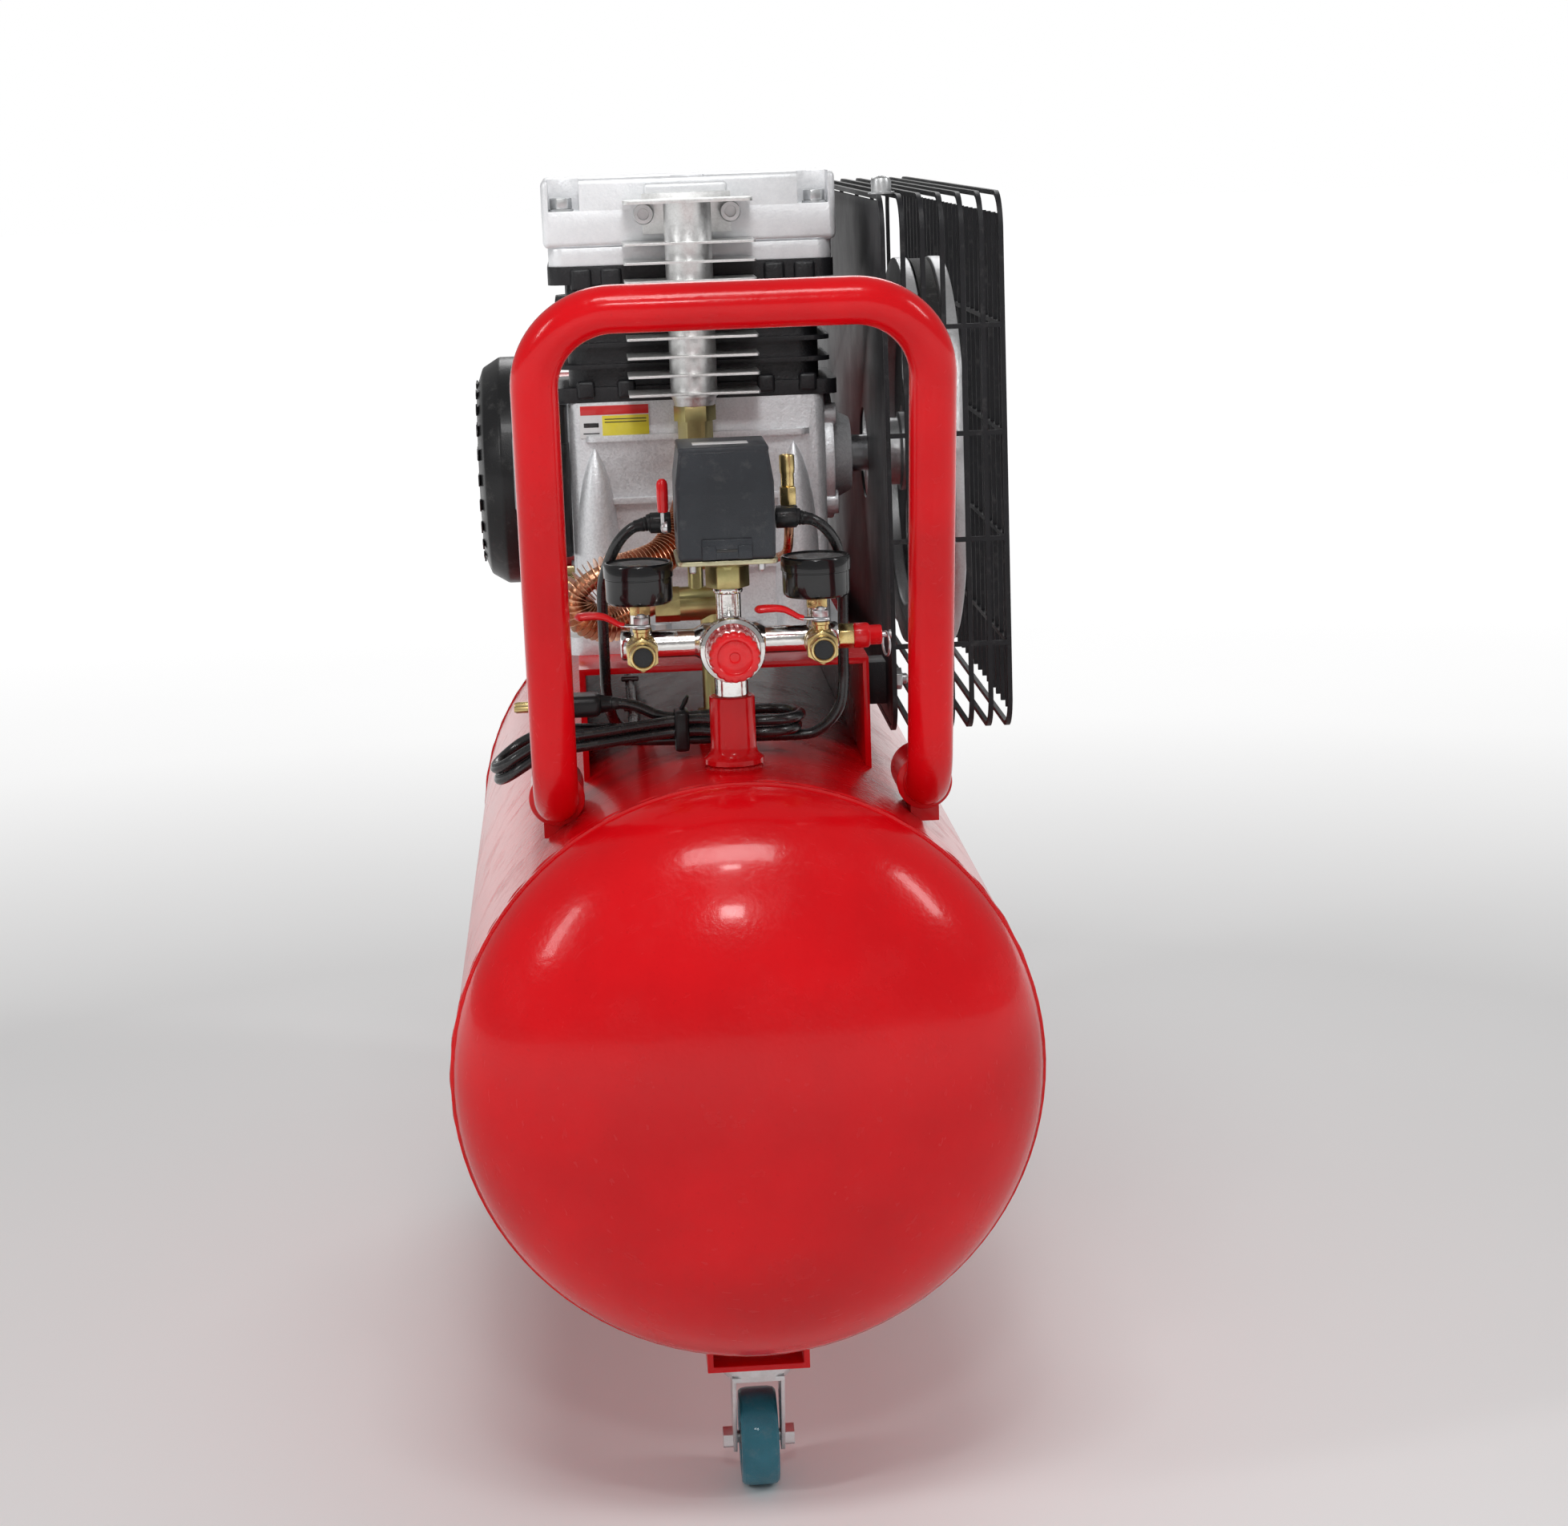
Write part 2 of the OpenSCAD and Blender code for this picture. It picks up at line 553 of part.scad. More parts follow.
// Two rows of arcs round both pulleys, joined by the straight runs
belt_gap = [motor_y - pump_y, motor_z - crank_z];
belt_angle = atan2(belt_gap[1], belt_gap[0]);
belt_wrap = acos((flywheel_belt_r - pulley_belt_r) / norm(belt_gap));
function belt_ring(centre, r, a) = [for (o = [[-4, -4], [4, -6], [4, 6], [-4, 4]])
    [belt_x + o[1], centre[0] + (r + o[0]) * cos(a), centre[1] + (r + o[0]) * sin(a)]];
module v_belt() color(black) {
    big = 30;
    small = 12;
    sweep_big = 360 - 2 * belt_wrap;
    rings = concat(
        [for (i = [0:big])
            belt_ring([pump_y, crank_z], flywheel_belt_r, belt_angle + belt_wrap + sweep_big * i / big)],
        [for (i = [0:small])
            belt_ring([motor_y, motor_z], pulley_belt_r, belt_angle - belt_wrap + 2 * belt_wrap * i / small)]);
    n = len(rings);
    polyhedron(flatten(rings), [for (i = [0:n - 1]) for (k = [0:3])
        let (j = (i + 1) % n, m = (k + 1) % 4) [i * 4 + k, j * 4 + k, j * 4 + m, i * 4 + m]], convexity = 6);
}

// ---- Motor ----
module motor_housing() color(red) difference() {
    union() {
        along_x(motor_left_x, motor_y, motor_z) cylinder(d = motor_d, h = motor_right_x - motor_left_x);
        for (x = motor_bolt_x) box(x - 14, x + 14, motor_y - 76, motor_y + 76, deck_z, deck_z + 8);
        box(motor_bolt_x[0] - 14, motor_bolt_x[1] + 14, motor_y - 45, motor_y + 45, deck_z, deck_z + 25);
    }
    along_x(motor_left_x - eps, motor_y, motor_z)
        cylinder(d = 87, h = motor_right_x - motor_left_x + 2 * eps);
    for (x = [motor_left_x - eps, motor_right_x - 22])
        along_x(x, motor_y, motor_z) cylinder(d = motor_d - 12, h = 22 + eps);
    for (x = motor_bolt_x, y = [-1, 1]) translate([x, motor_y + y * motor_bolt_y, deck_z - eps])
        cylinder(d = bolt_hole, h = 12);
}
module motor_end_shields() color(silver) {
    difference() {
        union() {
            along_x(motor_right_x, motor_y, motor_z) cylinder(d = motor_d, h = 8);
            along_x(motor_right_x + 8, motor_y, motor_z) cylinder(d1 = 110, d2 = 60, h = 14);
        }
        along_x(motor_right_x - eps, motor_y, motor_z) cylinder(d = motor_shaft_d + 2 * running_gap, h = 30);
    }
    difference() {
        along_x(motor_left_x - 8, motor_y, motor_z) cylinder(d = motor_d, h = 8);
        along_x(motor_left_x - 9, motor_y, motor_z) cylinder(d = motor_shaft_d + 2 * running_gap, h = 10);
    }
}
fan_x = -142;
module motor_rotor() color(zinc) {
    along_x(fan_x - 12, motor_y, motor_z)
        cylinder(d = motor_shaft_d, h = belt_x + pulley_w / 2 - fan_x + 12);
    along_x(-90, motor_y, motor_z) cylinder(d = 84, h = 116);
}
module cooling_fan() color("#333336") along_x(fan_x, motor_y, motor_z) {
    ring(40, motor_shaft_d, 14);
    for (a = [0:45:359]) rotate([0, 0, a]) translate([19, -1.5, 0]) cube([52, 3, 14]);
}
cowl_left_x = -168;
cowl_d = 180;
module fan_cowl() color(black) difference() {
    along_x(0, motor_y, motor_z) rotate_extrude($fn = 64) polygon([
        [30, cowl_left_x], [cowl_d / 2 - 22, cowl_left_x], [cowl_d / 2 - 8, cowl_left_x + 5],
        [cowl_d / 2, cowl_left_x + 18], [cowl_d / 2, motor_left_x], [cowl_d / 2 - 3, motor_left_x],
        [cowl_d / 2 - 3, cowl_left_x + 19], [cowl_d / 2 - 10, cowl_left_x + 8],
        [cowl_d / 2 - 23, cowl_left_x + 3], [30, cowl_left_x + 3]]);
}
box_z = 596;
module capacitor_box() color("#9a9da1") difference() {
    union() {
        box(-140, -60, 132, 158, box_z, box_z + 56);
        box(-134, -66, 127, 132, box_z + 6, box_z + 50);
        box(-104, -66, 158, 190, box_z + 8, box_z + 46);
    }
    along_x(-200, motor_y, motor_z) cylinder(d = motor_d, h = 400);
}

// ---- Fasteners of the pump and the motor, and the guard's ----
guard_bolt_y = [-228, 120];
guard_bolt_z = 516;
module mounting_bolts() color(zinc) {
    for (x = [-1, 1], y = [-1, 1])
        translate([pump_x + x * pump_bolt_x, pump_y + y * pump_bolt_y, deck_z + 12]) {
        hex(13, 6);
        translate([0, 0, -24]) cylinder(d = 8, h = 24);
    }
    for (x = motor_bolt_x, y = [-1, 1]) translate([x, motor_y + y * motor_bolt_y, deck_z + 8]) {
        hex(13, 6);
        translate([0, 0, -20]) cylinder(d = 8, h = 20);
    }
    for (y = guard_bolt_y) along_x(guard_x + 2, y, guard_bolt_z) hex(13, 6);
}

// ---- Guard ----
module guard_outline(inset) {
    y0 = guard_front_y + inset;
    y1 = guard_back_y - inset;
    z0 = guard_low_z + inset;
    z1 = guard_top_z - inset;
    r = guard_corner - inset;
    translate([y0, z0 + r]) square([y1 - y0, z1 - z0 - 2 * r]);
    translate([y0 + r, z0]) square([y1 - y0 - 2 * r, z1 - z0]);
    for (y = [y0 + r, y1 - r], z = [z0 + r, z1 - r]) translate([y, z]) circle(r);
}
// Draws a Y-Z outline as a plate that starts at x
module plate_at(x, t) translate([x, 0, 0]) rotate([90, 0, 90]) linear_extrude(height = t) children();
module guard_back_plate() color(black) {
    difference() {
        plate_at(guard_x, 2) guard_outline(wire + 1);
        along_x(guard_x - eps, pump_y, crank_z) cylinder(d = 62, h = 4);
        along_x(guard_x - eps, motor_y, motor_z) cylinder(d = 70, h = 4);
    }
    for (y = guard_bolt_y) box(deck_w / 2, guard_x, y - 14, y + 14, guard_bolt_z - 14, guard_bolt_z + 14);
}
wire_step = (guard_right_x - wire - guard_x) / 6;
module guard_cage() color(black) {
    for (i = [0:6]) plate_at(guard_x + i * wire_step, wire) difference() {
        guard_outline(0);
        guard_outline(wire);
    }
    for (i = [0:24])
        box(guard_right_x - wire, guard_right_x, guard_front_y + 12 + i * 24, guard_front_y + 15 + i * 24,
        guard_low_z + 14, guard_top_z - 14);
    for (z = [545:68:790]) difference() {
        box(guard_x, guard_right_x, guard_front_y, guard_back_y, z, z + wire);
        box(guard_x - eps, guard_right_x - wire, guard_front_y + wire, guard_back_y - wire,
            z - eps, z + wire + eps);
    }
}

// ---- Manifold, regulator, gauges and valves ----
module manifold() color(chrome) {
    difference() {
        union() {
            along_x(-68, column_y, manifold_z) cylinder(d = 20, h = 136);
            along_x(-20, column_y, manifold_z) cylinder(d = 26, h = 40);
            translate([column_x, column_y, riser_top_z]) cylinder(d = 22, h = 30);
            translate([column_x, column_y, riser_top_z]) hex(26, 9);
            translate([column_x, column_y, manifold_z]) cylinder(d = 14, h = 34);
            to_front(0, column_y, manifold_z) cylinder(d = 22, h = 16);
            for (side = [-1, 1]) {
                translate([side * outlet_x, column_y, manifold_z]) cylinder(d = 16, h = 18);
                to_front(side * outlet_x, column_y, manifold_z) cylinder(d = 16, h = 14);
            }
        }
        translate([column_x, column_y, riser_top_z - eps]) cylinder(d = 9, h = 80);
        along_x(-62, column_y, manifold_z) cylinder(d = 9, h = 124);
    }
}
regulator_y = column_y - 16;
module regulator_body() color(chrome) {
    to_front(0, regulator_y, manifold_z) cylinder(d = 44, h = 10);
    to_front(0, regulator_y - 10, manifold_z) cylinder(d = 41, h = 9);
    to_front(0, regulator_y - 19, manifold_z) cylinder(d = 30, h = 6);
}
module regulator_knob() color(red) to_front(0, regulator_y - 25.3, manifold_z) difference() {
    cylinder(d = 33, h = 26);
    for (a = [0:30:359]) rotate([0, 0, a]) translate([18, 0, 6]) cylinder(d = 6, h = 30);
}
gauge_base_z = manifold_z + 18;
gauge_h = 26;
gauge_floor_z = gauge_base_z + 8;
dial_z = gauge_floor_z + gauge_h - 8;
module gauge_case(x) translate([x, column_y, 0]) difference() {
    union() {
        translate([0, 0, gauge_base_z]) hex(14, 8);
        translate([0, 0, gauge_floor_z]) cylinder(d = gauge_d, h = gauge_h);
        translate([0, 0, gauge_floor_z + 16]) cylinder(d = gauge_d + 1.5, h = gauge_h - 16);
    }
    translate([0, 0, dial_z]) cylinder(d = gauge_d - 4, h = 20);
}
module gauge_cases() color(black) for (side = [-1, 1]) gauge_case(side * outlet_x);
module gauge_needle(x) translate([x, column_y, dial_z + 0.3]) {
    cylinder(d = 4, h = 2);
    rotate([0, 0, -135]) translate([-1, -4, 0]) cube([2, 18, 1]);
}
module gauge_needle_left() color("#222222") gauge_needle(-outlet_x);
module gauge_needle_right() color("#222222") gauge_needle(outlet_x);

valve_y = column_y - 14;
stem_y = valve_y - 16;
outlet_y = valve_y - 38;
outlet_bore = 11.8;
module valve_bodies() color(brass) for (side = [-1, 1]) difference() {
    union() {
        to_front(side * outlet_x, valve_y, manifold_z) hex(20, 10);
        to_front(side * outlet_x, valve_y - 8, manifold_z) cylinder(d = 21, h = 22);
        to_front(side * outlet_x, valve_y - 28, manifold_z) hex(20, 10);
        translate([side * outlet_x, stem_y, manifold_z]) cylinder(d = 10, h = 15);
    }
    to_front(side * outlet_x, outlet_y + 14, manifold_z) cylinder(d = outlet_bore, h = 15);
}
lever_z = manifold_z + 15.2;
// Lever lies across the valve when it is closed, pointing to -X
lever_reach = 40;
module valve_lever(x) translate([x, stem_y, lever_z]) {
    color(chrome) {
        cylinder(d = 9, h = 6);
        hex(11, 4.5);
        translate([-20, -4, 0]) cube([20, 8, 1.6]);
    }
    color(red) {
        translate([-22, -5, -0.5]) cube([6, 10, 10]);
        translate([-lever_reach, -6, 5.5]) cube([lever_reach - 16, 12, 5]);
    }
}
module valve_lever_left() valve_lever(-outlet_x);
module valve_lever_right() valve_lever(outlet_x);

module safety_valve() {
    color(brass) along_x(68, column_y, manifold_z) hex(15, 9);
    color(red) along_x(77, column_y, manifold_z) cylinder(d = 15, h = 10);
    color(red) along_x(87, column_y, manifold_z) difference() {
        cylinder(d = 12, h = 8);
        translate([0, 0, 1]) cylinder(d = 4.2, h = 8);
    }
}
module safety_pull_ring() color(zinc) {
    along_x(88.1, column_y, manifold_z) cylinder(d = 4, h = 12);
    translate([107, column_y, manifold_z]) rotate([90, 0, 0]) rotate_extrude()
        translate([8, 0]) circle(d = 2, $fn = 16);
}

// ---- Pressure switch ----
module switch_base() color(zinc) {
    translate([column_x, column_y, 600]) hex(17, 14);
    translate([column_x, column_y, 614]) cylinder(d1 = 30, d2 = 44, h = 4);
    translate([switch_x, column_y - 2, 618]) slab(62, 66, 3, 6);
}
cover_z = 621;
module switch_cover() color("#303338") difference() {
    union() {
        translate([switch_x, column_y - 2, cover_z]) slab(65, 68, 46, 8);
        translate([switch_x, column_y - 2, cover_z + 40]) slab(55, 60, 29, 8);
    }
    translate([switch_x, column_y - 2, cover_z - eps]) slab(59, 62, 44, 6);
    translate([switch_x, column_y - 2, cover_z]) slab(49, 54, 66, 6);
}
lever_x = switch_x - 32.5;
module switch_lever() {
    color(zinc) along_x(lever_x - 7, column_y - 20, 645) cylinder(d = 6, h = 6.8);
    color(zinc) translate([lever_x - 5, column_y - 20, 645]) cylinder(d = 3, h = 12);
    color(red) translate([lever_x - 5, column_y - 20, 655]) cylinder(d = 7, h = 22);
}
cover_right_x = switch_x + 32.5;
module unloader_valve() color(brass) {
    translate([41, -322, 640]) hex(10, 8);
    translate([41, -322, 648]) cylinder(d = 8, h = 10);
    translate([41, -322, 658]) cylinder(d = 10, h = 20);
    along_x(cover_right_x, -322, 653) cylinder(d = 7, h = 6);
}
gland_z = 641;
gland_y = -345;
gland_len = 13;
module cable_gland() color(black) for (x = [switch_x - 32.5 - gland_len, cover_right_x])
    along_x(x, gland_y, gland_z) ring(13, cord_d, gland_len);
motor_cable_route = [
    [-46.5, -345, 641], [-56, -344, 639], [-65, -339, 631], [-72, -331, 618], [-77, -322, 602],
    [-78, -314, 584], [-78, -306, 564], [-78, -296, 545], [-78, -284, 528], [-76, -272, 512], [-73, -256, 501],
    [-68, -236, 493], [-62, -210, 487], [-60, -160, 485], [-60, -90, 485], [-60, -10, 485], [-61, 60, 486],
    [-66, 105, 492], [-76, 132, 508], [-80, 142, 530], [-80, 143, 560], [-80, 143, 596]];
module motor_cable() color(black) {
    route = smooth(motor_cable_route, 3);
    swept_tube(route, same(cord_d / 2, len(route)), 8, [0, 1, 0.1]);
}
module drain_valve() color(brass) {
    translate([0, 0, tank_z - tank_r - 20]) hex(18, 14);
    translate([0, 0, tank_z - tank_r - 30]) cylinder(d = 10, h = 10);
}
module drain_knob() color(brass) {
    translate([0, 0, tank_z - tank_r - 36.3]) cylinder(d = 9, h = 6);
    translate([0, 0, tank_z - tank_r - 36.3]) slab(26, 4, 6, 1.5);
}

// ---- Mains cord ----
// Free stretch from the right gland down to the hank
cord_route = [
    [44.5, -345, 641], [54, -344, 639], [63, -339, 632], [70, -331, 620], [73, -323, 604], [74, -316, 584],
    [74, -310, 564], [74, -305, 545], [74, -302.4, 530], [72, -302.4, 516], [66, -302.4, 505.5],
    [57, -302.4, 498.2],
    [48, -302.4, 495.8]];
module mains_cord() color(black) {
    route = smooth(cord_route, 3);
    swept_tube(route, same(cord_d / 2, len(route)), 8, [0, 1, 0.1]);
}
// The hank lies along X over the tank's top, and its left end droops over the shoulder
hank_y = [-331, -281];
hank_t = 22;
hank_bend_x = -128;
hank_right_x = 50;
hank_z = 503;
hank_droop = 36;
hank_tail = 34;
module hank_bar(length) {
    translate([0, -hank_t / 2]) square([length, hank_t]);
    for (x = [0, length]) translate([x, 0]) circle(d = hank_t);
}
module mains_cord_hank() color(black) translate([0, hank_y[1], 0]) rotate([90, 0, 0])
    linear_extrude(height = hank_y[1] - hank_y[0]) {
        translate([hank_bend_x, hank_z]) hank_bar(hank_right_x - hank_bend_x);
        translate([hank_bend_x, hank_z]) rotate(180 + hank_droop) hank_bar(hank_tail);
    }
module mains_plug() color(black) translate([-100, -304, hank_z + hank_t / 2 + 0.5]) slab(38, 24, 14, 5);

tank_shell();
tank_heads();
tank_weldments();
handle();
platform();
wheel_brackets();
rear_axle();
caster_fork();
caster_wheel();
rear_wheel_left();
rear_wheel_right();
crankcase();
bearing_housing();
main_bearings();
crankshaft();
connecting_rods();
pistons();
cylinder_block();
valve_plate();
cylinder_head();
head_bolts();
oil_breather();
aftercooler();
finned_pipe();
check_valve();
unloader_tube();
flywheel();
v_belt();
motor_pulley();
motor_housing();
motor_end_shields();
motor_rotor();
cooling_fan();
fan_cowl();
capacitor_box();
mounting_bolts();
guard_back_plate();
guard_cage();
manifold();
regulator_body();
regulator_knob();
gauge_cases();
gauge_needle_left();
gauge_needle_right();
valve_bodies();
valve_lever_left();
valve_lever_right();
safety_valve();
safety_pull_ring();
switch_base();
switch_cover();
switch_lever();
unloader_valve();
cable_gland();
motor_cable();
drain_valve();
drain_knob();
mains_cord();
mains_cord_hank();
mains_plug();
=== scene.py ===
import json
import math
from contextlib import contextmanager

import bpy
from mathutils import Matrix, Vector


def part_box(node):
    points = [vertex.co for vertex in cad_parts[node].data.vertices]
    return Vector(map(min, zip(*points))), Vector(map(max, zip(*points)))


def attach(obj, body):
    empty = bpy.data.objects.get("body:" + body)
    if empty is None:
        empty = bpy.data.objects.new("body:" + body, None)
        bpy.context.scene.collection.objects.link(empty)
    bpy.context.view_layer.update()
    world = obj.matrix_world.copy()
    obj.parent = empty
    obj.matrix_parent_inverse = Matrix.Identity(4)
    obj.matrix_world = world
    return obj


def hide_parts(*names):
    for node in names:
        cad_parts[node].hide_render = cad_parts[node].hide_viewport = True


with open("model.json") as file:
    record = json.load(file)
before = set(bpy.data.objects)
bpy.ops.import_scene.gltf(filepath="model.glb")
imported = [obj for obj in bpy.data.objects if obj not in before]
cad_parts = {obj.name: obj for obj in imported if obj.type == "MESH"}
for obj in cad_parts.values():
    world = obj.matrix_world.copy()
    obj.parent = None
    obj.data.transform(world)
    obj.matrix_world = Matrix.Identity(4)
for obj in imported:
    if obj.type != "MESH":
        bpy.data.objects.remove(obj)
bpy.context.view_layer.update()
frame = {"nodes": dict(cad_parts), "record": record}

bl_info = {
    "name": "Belt-driven air compressor",
    "version": (1, 0, 0),
    "blender": (4, 5, 0),
    "location": "View3D > Sidebar > Compressor",
    "description": "Finishes the pieces of a belt-driven air compressor on its packed frame",
    "category": "Object",
}

NODES = frame["nodes"]
BODY_OF = {node: body for body, nodes in frame["record"]["behaviour"]["bodies"].items() for node in nodes}
X, Y, Z = Vector((1, 0, 0)), Vector((0, 1, 0)), Vector((0, 0, 1))

# Shared places in the part's frame, in millimetres
COLUMN_Y = -350
MANIFOLD_Z = 566
OUTLET_X = 55
VALVE_BACK_Y = -361
STEM_Y = -380
LEVER_Z = 581.2
GLAND_Z = 641.2
PUMP_Y = -120
PUMP_FRONT_Y = -175.2
SEAT_Z = 828
SOCKETS_X = (-112, 120)
SOCKET_Z = 469.9


def mm(*values):
    """Millimetres in metres: one number, or a point."""
    return values[0] * 0.001 if len(values) == 1 else Vector(values) * 0.001


# ---- Sizes and colours a user would change ----

def colour(name, about, value):
    return bpy.props.FloatVectorProperty(name=name, description=about, default=value, size=3, min=0, max=1,
                                         subtype="COLOR")


def length(name, about, value, low=0.0, high=5.0):
    return bpy.props.FloatProperty(name=name, description=about, default=value, min=low, max=high,
                                   unit="LENGTH", subtype="DISTANCE")


class CompressorColours(bpy.types.PropertyGroup):
    red: colour("Red paint", "Gloss paint of the tank, handle, platform and motor", (0.68, 0.002, 0.006))
    silver: colour("Silver casting", "Crankcase, head and cooler", (0.72, 0.73, 0.75))
    black: colour("Black casting", "Cylinder block and guard", (0.012, 0.012, 0.014))
    switch: colour("Switch cover", "Moulded cover of the pressure switch", (0.035, 0.04, 0.047))
    brass: colour("Brass", "Valves and nuts", (0.78, 0.6, 0.27))
    copper: colour("Copper", "Delivery and unloader pipes", (0.86, 0.46, 0.28))
    tread: colour("Caster tread", "Moulded tread of the front caster", (0.03, 0.17, 0.23))
    red_plastic: colour("Red plastic", "Knob, sleeves and caps", (0.72, 0.008, 0.012))


class CompressorSizes(bpy.types.PropertyGroup):
    bead_radius: length("Weld bead", "Half the width of the tank's weld beads", 0.0022, 0.0005, 0.01)
    bead_ripples: bpy.props.IntProperty(name="Bead ripples", description="Ripples round each girth weld",
                                        default=210, min=40, max=600)
    fin_pitch: length("Fin pitch", "Pitch of the spiral fin on the copper pipe", 0.0030, 0.002, 0.01)
    cord_width: length("Cord diameter", "Outside diameter of the mains cord and motor cable", 0.007, 0.003, 0.02)
    tank_radius: length("Tank radius", "Outside radius of the tank's shell", 0.184, 0.1, 0.4)
    tank_height: length("Tank axis height", "Height of the tank's axis over the floor", 0.303, 0.1, 0.8)


class StudioSettings(bpy.types.PropertyGroup):
    camera: bpy.props.FloatVectorProperty(name="Camera", description="Place of the camera", size=3,
                                          default=(-0.0826, -2.3052, 0.8826), subtype="TRANSLATION", unit="LENGTH")
    yaw: bpy.props.FloatProperty(name="Yaw", description="Turn of the camera to the right",
                                 default=math.radians(3.33), subtype="ANGLE", unit="ROTATION")
    pitch: bpy.props.FloatProperty(name="Pitch", description="Tilt of the camera downwards",
                                   default=math.radians(11.42), subtype="ANGLE", unit="ROTATION")
    roll: bpy.props.FloatProperty(name="Roll", description="Roll of the camera",
                                  default=math.radians(-1.98), subtype="ANGLE", unit="ROTATION")
    lens: bpy.props.FloatProperty(name="Lens", description="Focal length on a 36 mm wide sensor",
                                  default=73.09, min=10, max=300, unit="CAMERA")
    key_light: bpy.props.FloatProperty(name="Key light", description="Power of the overhead softbox", default=26,
                                       min=0, max=500, unit="POWER")
    room_light: bpy.props.FloatProperty(name="Room light", description="Strength of the even light of the room",
                                        default=0.33, min=0, max=5)
    floor: colour("Floor", "Colour of the studio floor", (0.9, 0.9, 0.9))


# ---- Small steps that the pieces share ----

def only(piece):
    """Selects one object and nothing else."""
    if bpy.context.object and bpy.context.object.mode != "OBJECT":
        bpy.ops.object.mode_set(mode="OBJECT")
    bpy.ops.object.select_all(action="DESELECT")
    piece.select_set(True)
    bpy.context.view_layer.objects.active = piece
    return piece


def settle(piece, name=None):
    """Puts the piece's place into its mesh and names it."""
    only(piece)
    bpy.ops.object.transform_apply(location=True, rotation=True, scale=True)
    if name:
        piece.name = piece.data.name = name
    return piece


def smooth(piece, angle=32):
    """Shades a piece smooth, except over edges sharper than the angle."""
    only(piece)
    bpy.ops.object.shade_smooth_by_angle(angle=math.radians(angle))
    return piece


def add(kind, **settings):
    """Adds one of Blender's mesh primitives with nothing else selected."""
    bpy.ops.object.select_all(action="DESELECT")
    getattr(bpy.ops.mesh, f"primitive_{kind}_add")(**settings)
    return bpy.context.object


def modify(piece, kind, **settings):
    """Applies one modifier to a piece."""
    only(piece)
    modifier = piece.modifiers.new(kind.title(), kind)
    for key, value in settings.items():
        setattr(modifier, key, value)
    bpy.ops.object.modifier_apply(modifier=modifier.name)
    return piece


@contextmanager
def editing(piece, test=None):
    """Edit mode on one piece, with all of it selected, or only the faces that pass a test."""
    only(piece)
    bpy.ops.object.mode_set(mode="EDIT")
    bpy.ops.mesh.select_all(action="DESELECT" if test else "SELECT")
    if test:
        bpy.ops.object.mode_set(mode="OBJECT")
        for face in piece.data.polygons:
            face.select = test(face)
        bpy.ops.object.mode_set(mode="EDIT")
    yield
    bpy.ops.object.mode_set(mode="OBJECT")


def put(piece, name, at, axis=Z, turn=0.0):
    """Turns a piece from +Z to an axis, sets it down at a point and names it."""
    settle(piece)
    tilt = axis_turn(axis).to_matrix().to_4x4()
    piece.matrix_world = Matrix.Translation(at) @ tilt @ Matrix.Rotation(turn, 4, "Z")
    return settle(piece, name)


def edges_round(piece, width, segments=2, angle=28):
    """Rounds every edge sharper than the angle; the width is in millimetres."""
    return modify(piece, "BEVEL", width=mm(width), segments=segments, angle_limit=math.radians(angle),
                  use_clamp_overlap=True, miter_outer="MITER_ARC")


def fit(piece, finish, body="root", nodes=()):
    """Gives a finished piece its material, its body and the CAD nodes it stands for."""
    piece.data.materials.clear()
    for one in (finish if isinstance(finish, (list, tuple)) else [finish]):
        piece.data.materials.append(one)
    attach(piece, body)
    if nodes:
        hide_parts(*nodes)
    return piece


def from_node(node, finish, width=0.0, segments=2, smooth_angle=32, flat=1.0):
    """A joined copy of a CAD node with rounded edges, which stands for the node."""
    piece = bpy.data.objects.new(node + "_finished", NODES[node].data.copy())
    bpy.context.scene.collection.objects.link(piece)
    only(piece)
    bpy.ops.mesh.customdata_custom_splitnormals_clear()
    with editing(piece):
        bpy.ops.mesh.remove_doubles(threshold=2e-6)
        if flat:
            bpy.ops.mesh.dissolve_limited(angle_limit=math.radians(flat), delimit=set())
    if width:
        edges_round(piece, width, segments)
    smooth(piece, smooth_angle)
    return fit(piece, finish, BODY_OF[node], [node])


def axis_turn(axis):
    """The turn from +Z to an axis."""
    return Vector(axis).to_track_quat("Z", "Y" if abs(axis[1]) < 0.9 else "X")


def lathe(name, outline, at, axis=Z, sides=64):
    """A turned piece: a disc drawn out along an outline of (radius, height) pairs in millimetres."""
    piece = add("circle", vertices=sides, radius=mm(outline[0][0]), fill_type="NGON",
                location=(0, 0, mm(outline[0][1])))
    with editing(piece):
        for (r0, h0), (r1, h1) in zip(outline, outline[1:]):
            bpy.ops.mesh.extrude_region_move(TRANSFORM_OT_translate={"value": (0, 0, mm(h1 - h0))})
            bpy.ops.transform.resize(value=(r1 / r0, r1 / r0, 1), center_override=(0, 0, mm(h1)))
        bpy.ops.mesh.select_all(action="SELECT")
        bpy.ops.mesh.normals_make_consistent(inside=False)
    return smooth(put(piece, name, at, axis), 30)


def block(name, low, high, width=0, segments=2):
    """A block between two corners, with its edges rounded by a width in millimetres."""
    low, high = Vector(low), Vector(high)
    piece = settle(add("cube", size=1, location=(low + high) / 2, scale=high - low), name)
    if width:
        edges_round(piece, width, segments)
    return smooth(piece)


def hexagon(name, at, axis, across, height, chamfer=0.6, turn=0.0):
    """A hexagonal nut or bolt head with its corners turned off, its sizes in millimetres."""
    corner, height = mm(across) / math.sqrt(3), mm(height)
    piece = settle(add("cylinder", vertices=6, radius=corner, depth=height, location=(0, 0, height / 2)))
    return smooth(put(edges_round(piece, chamfer), name, at, axis, turn))


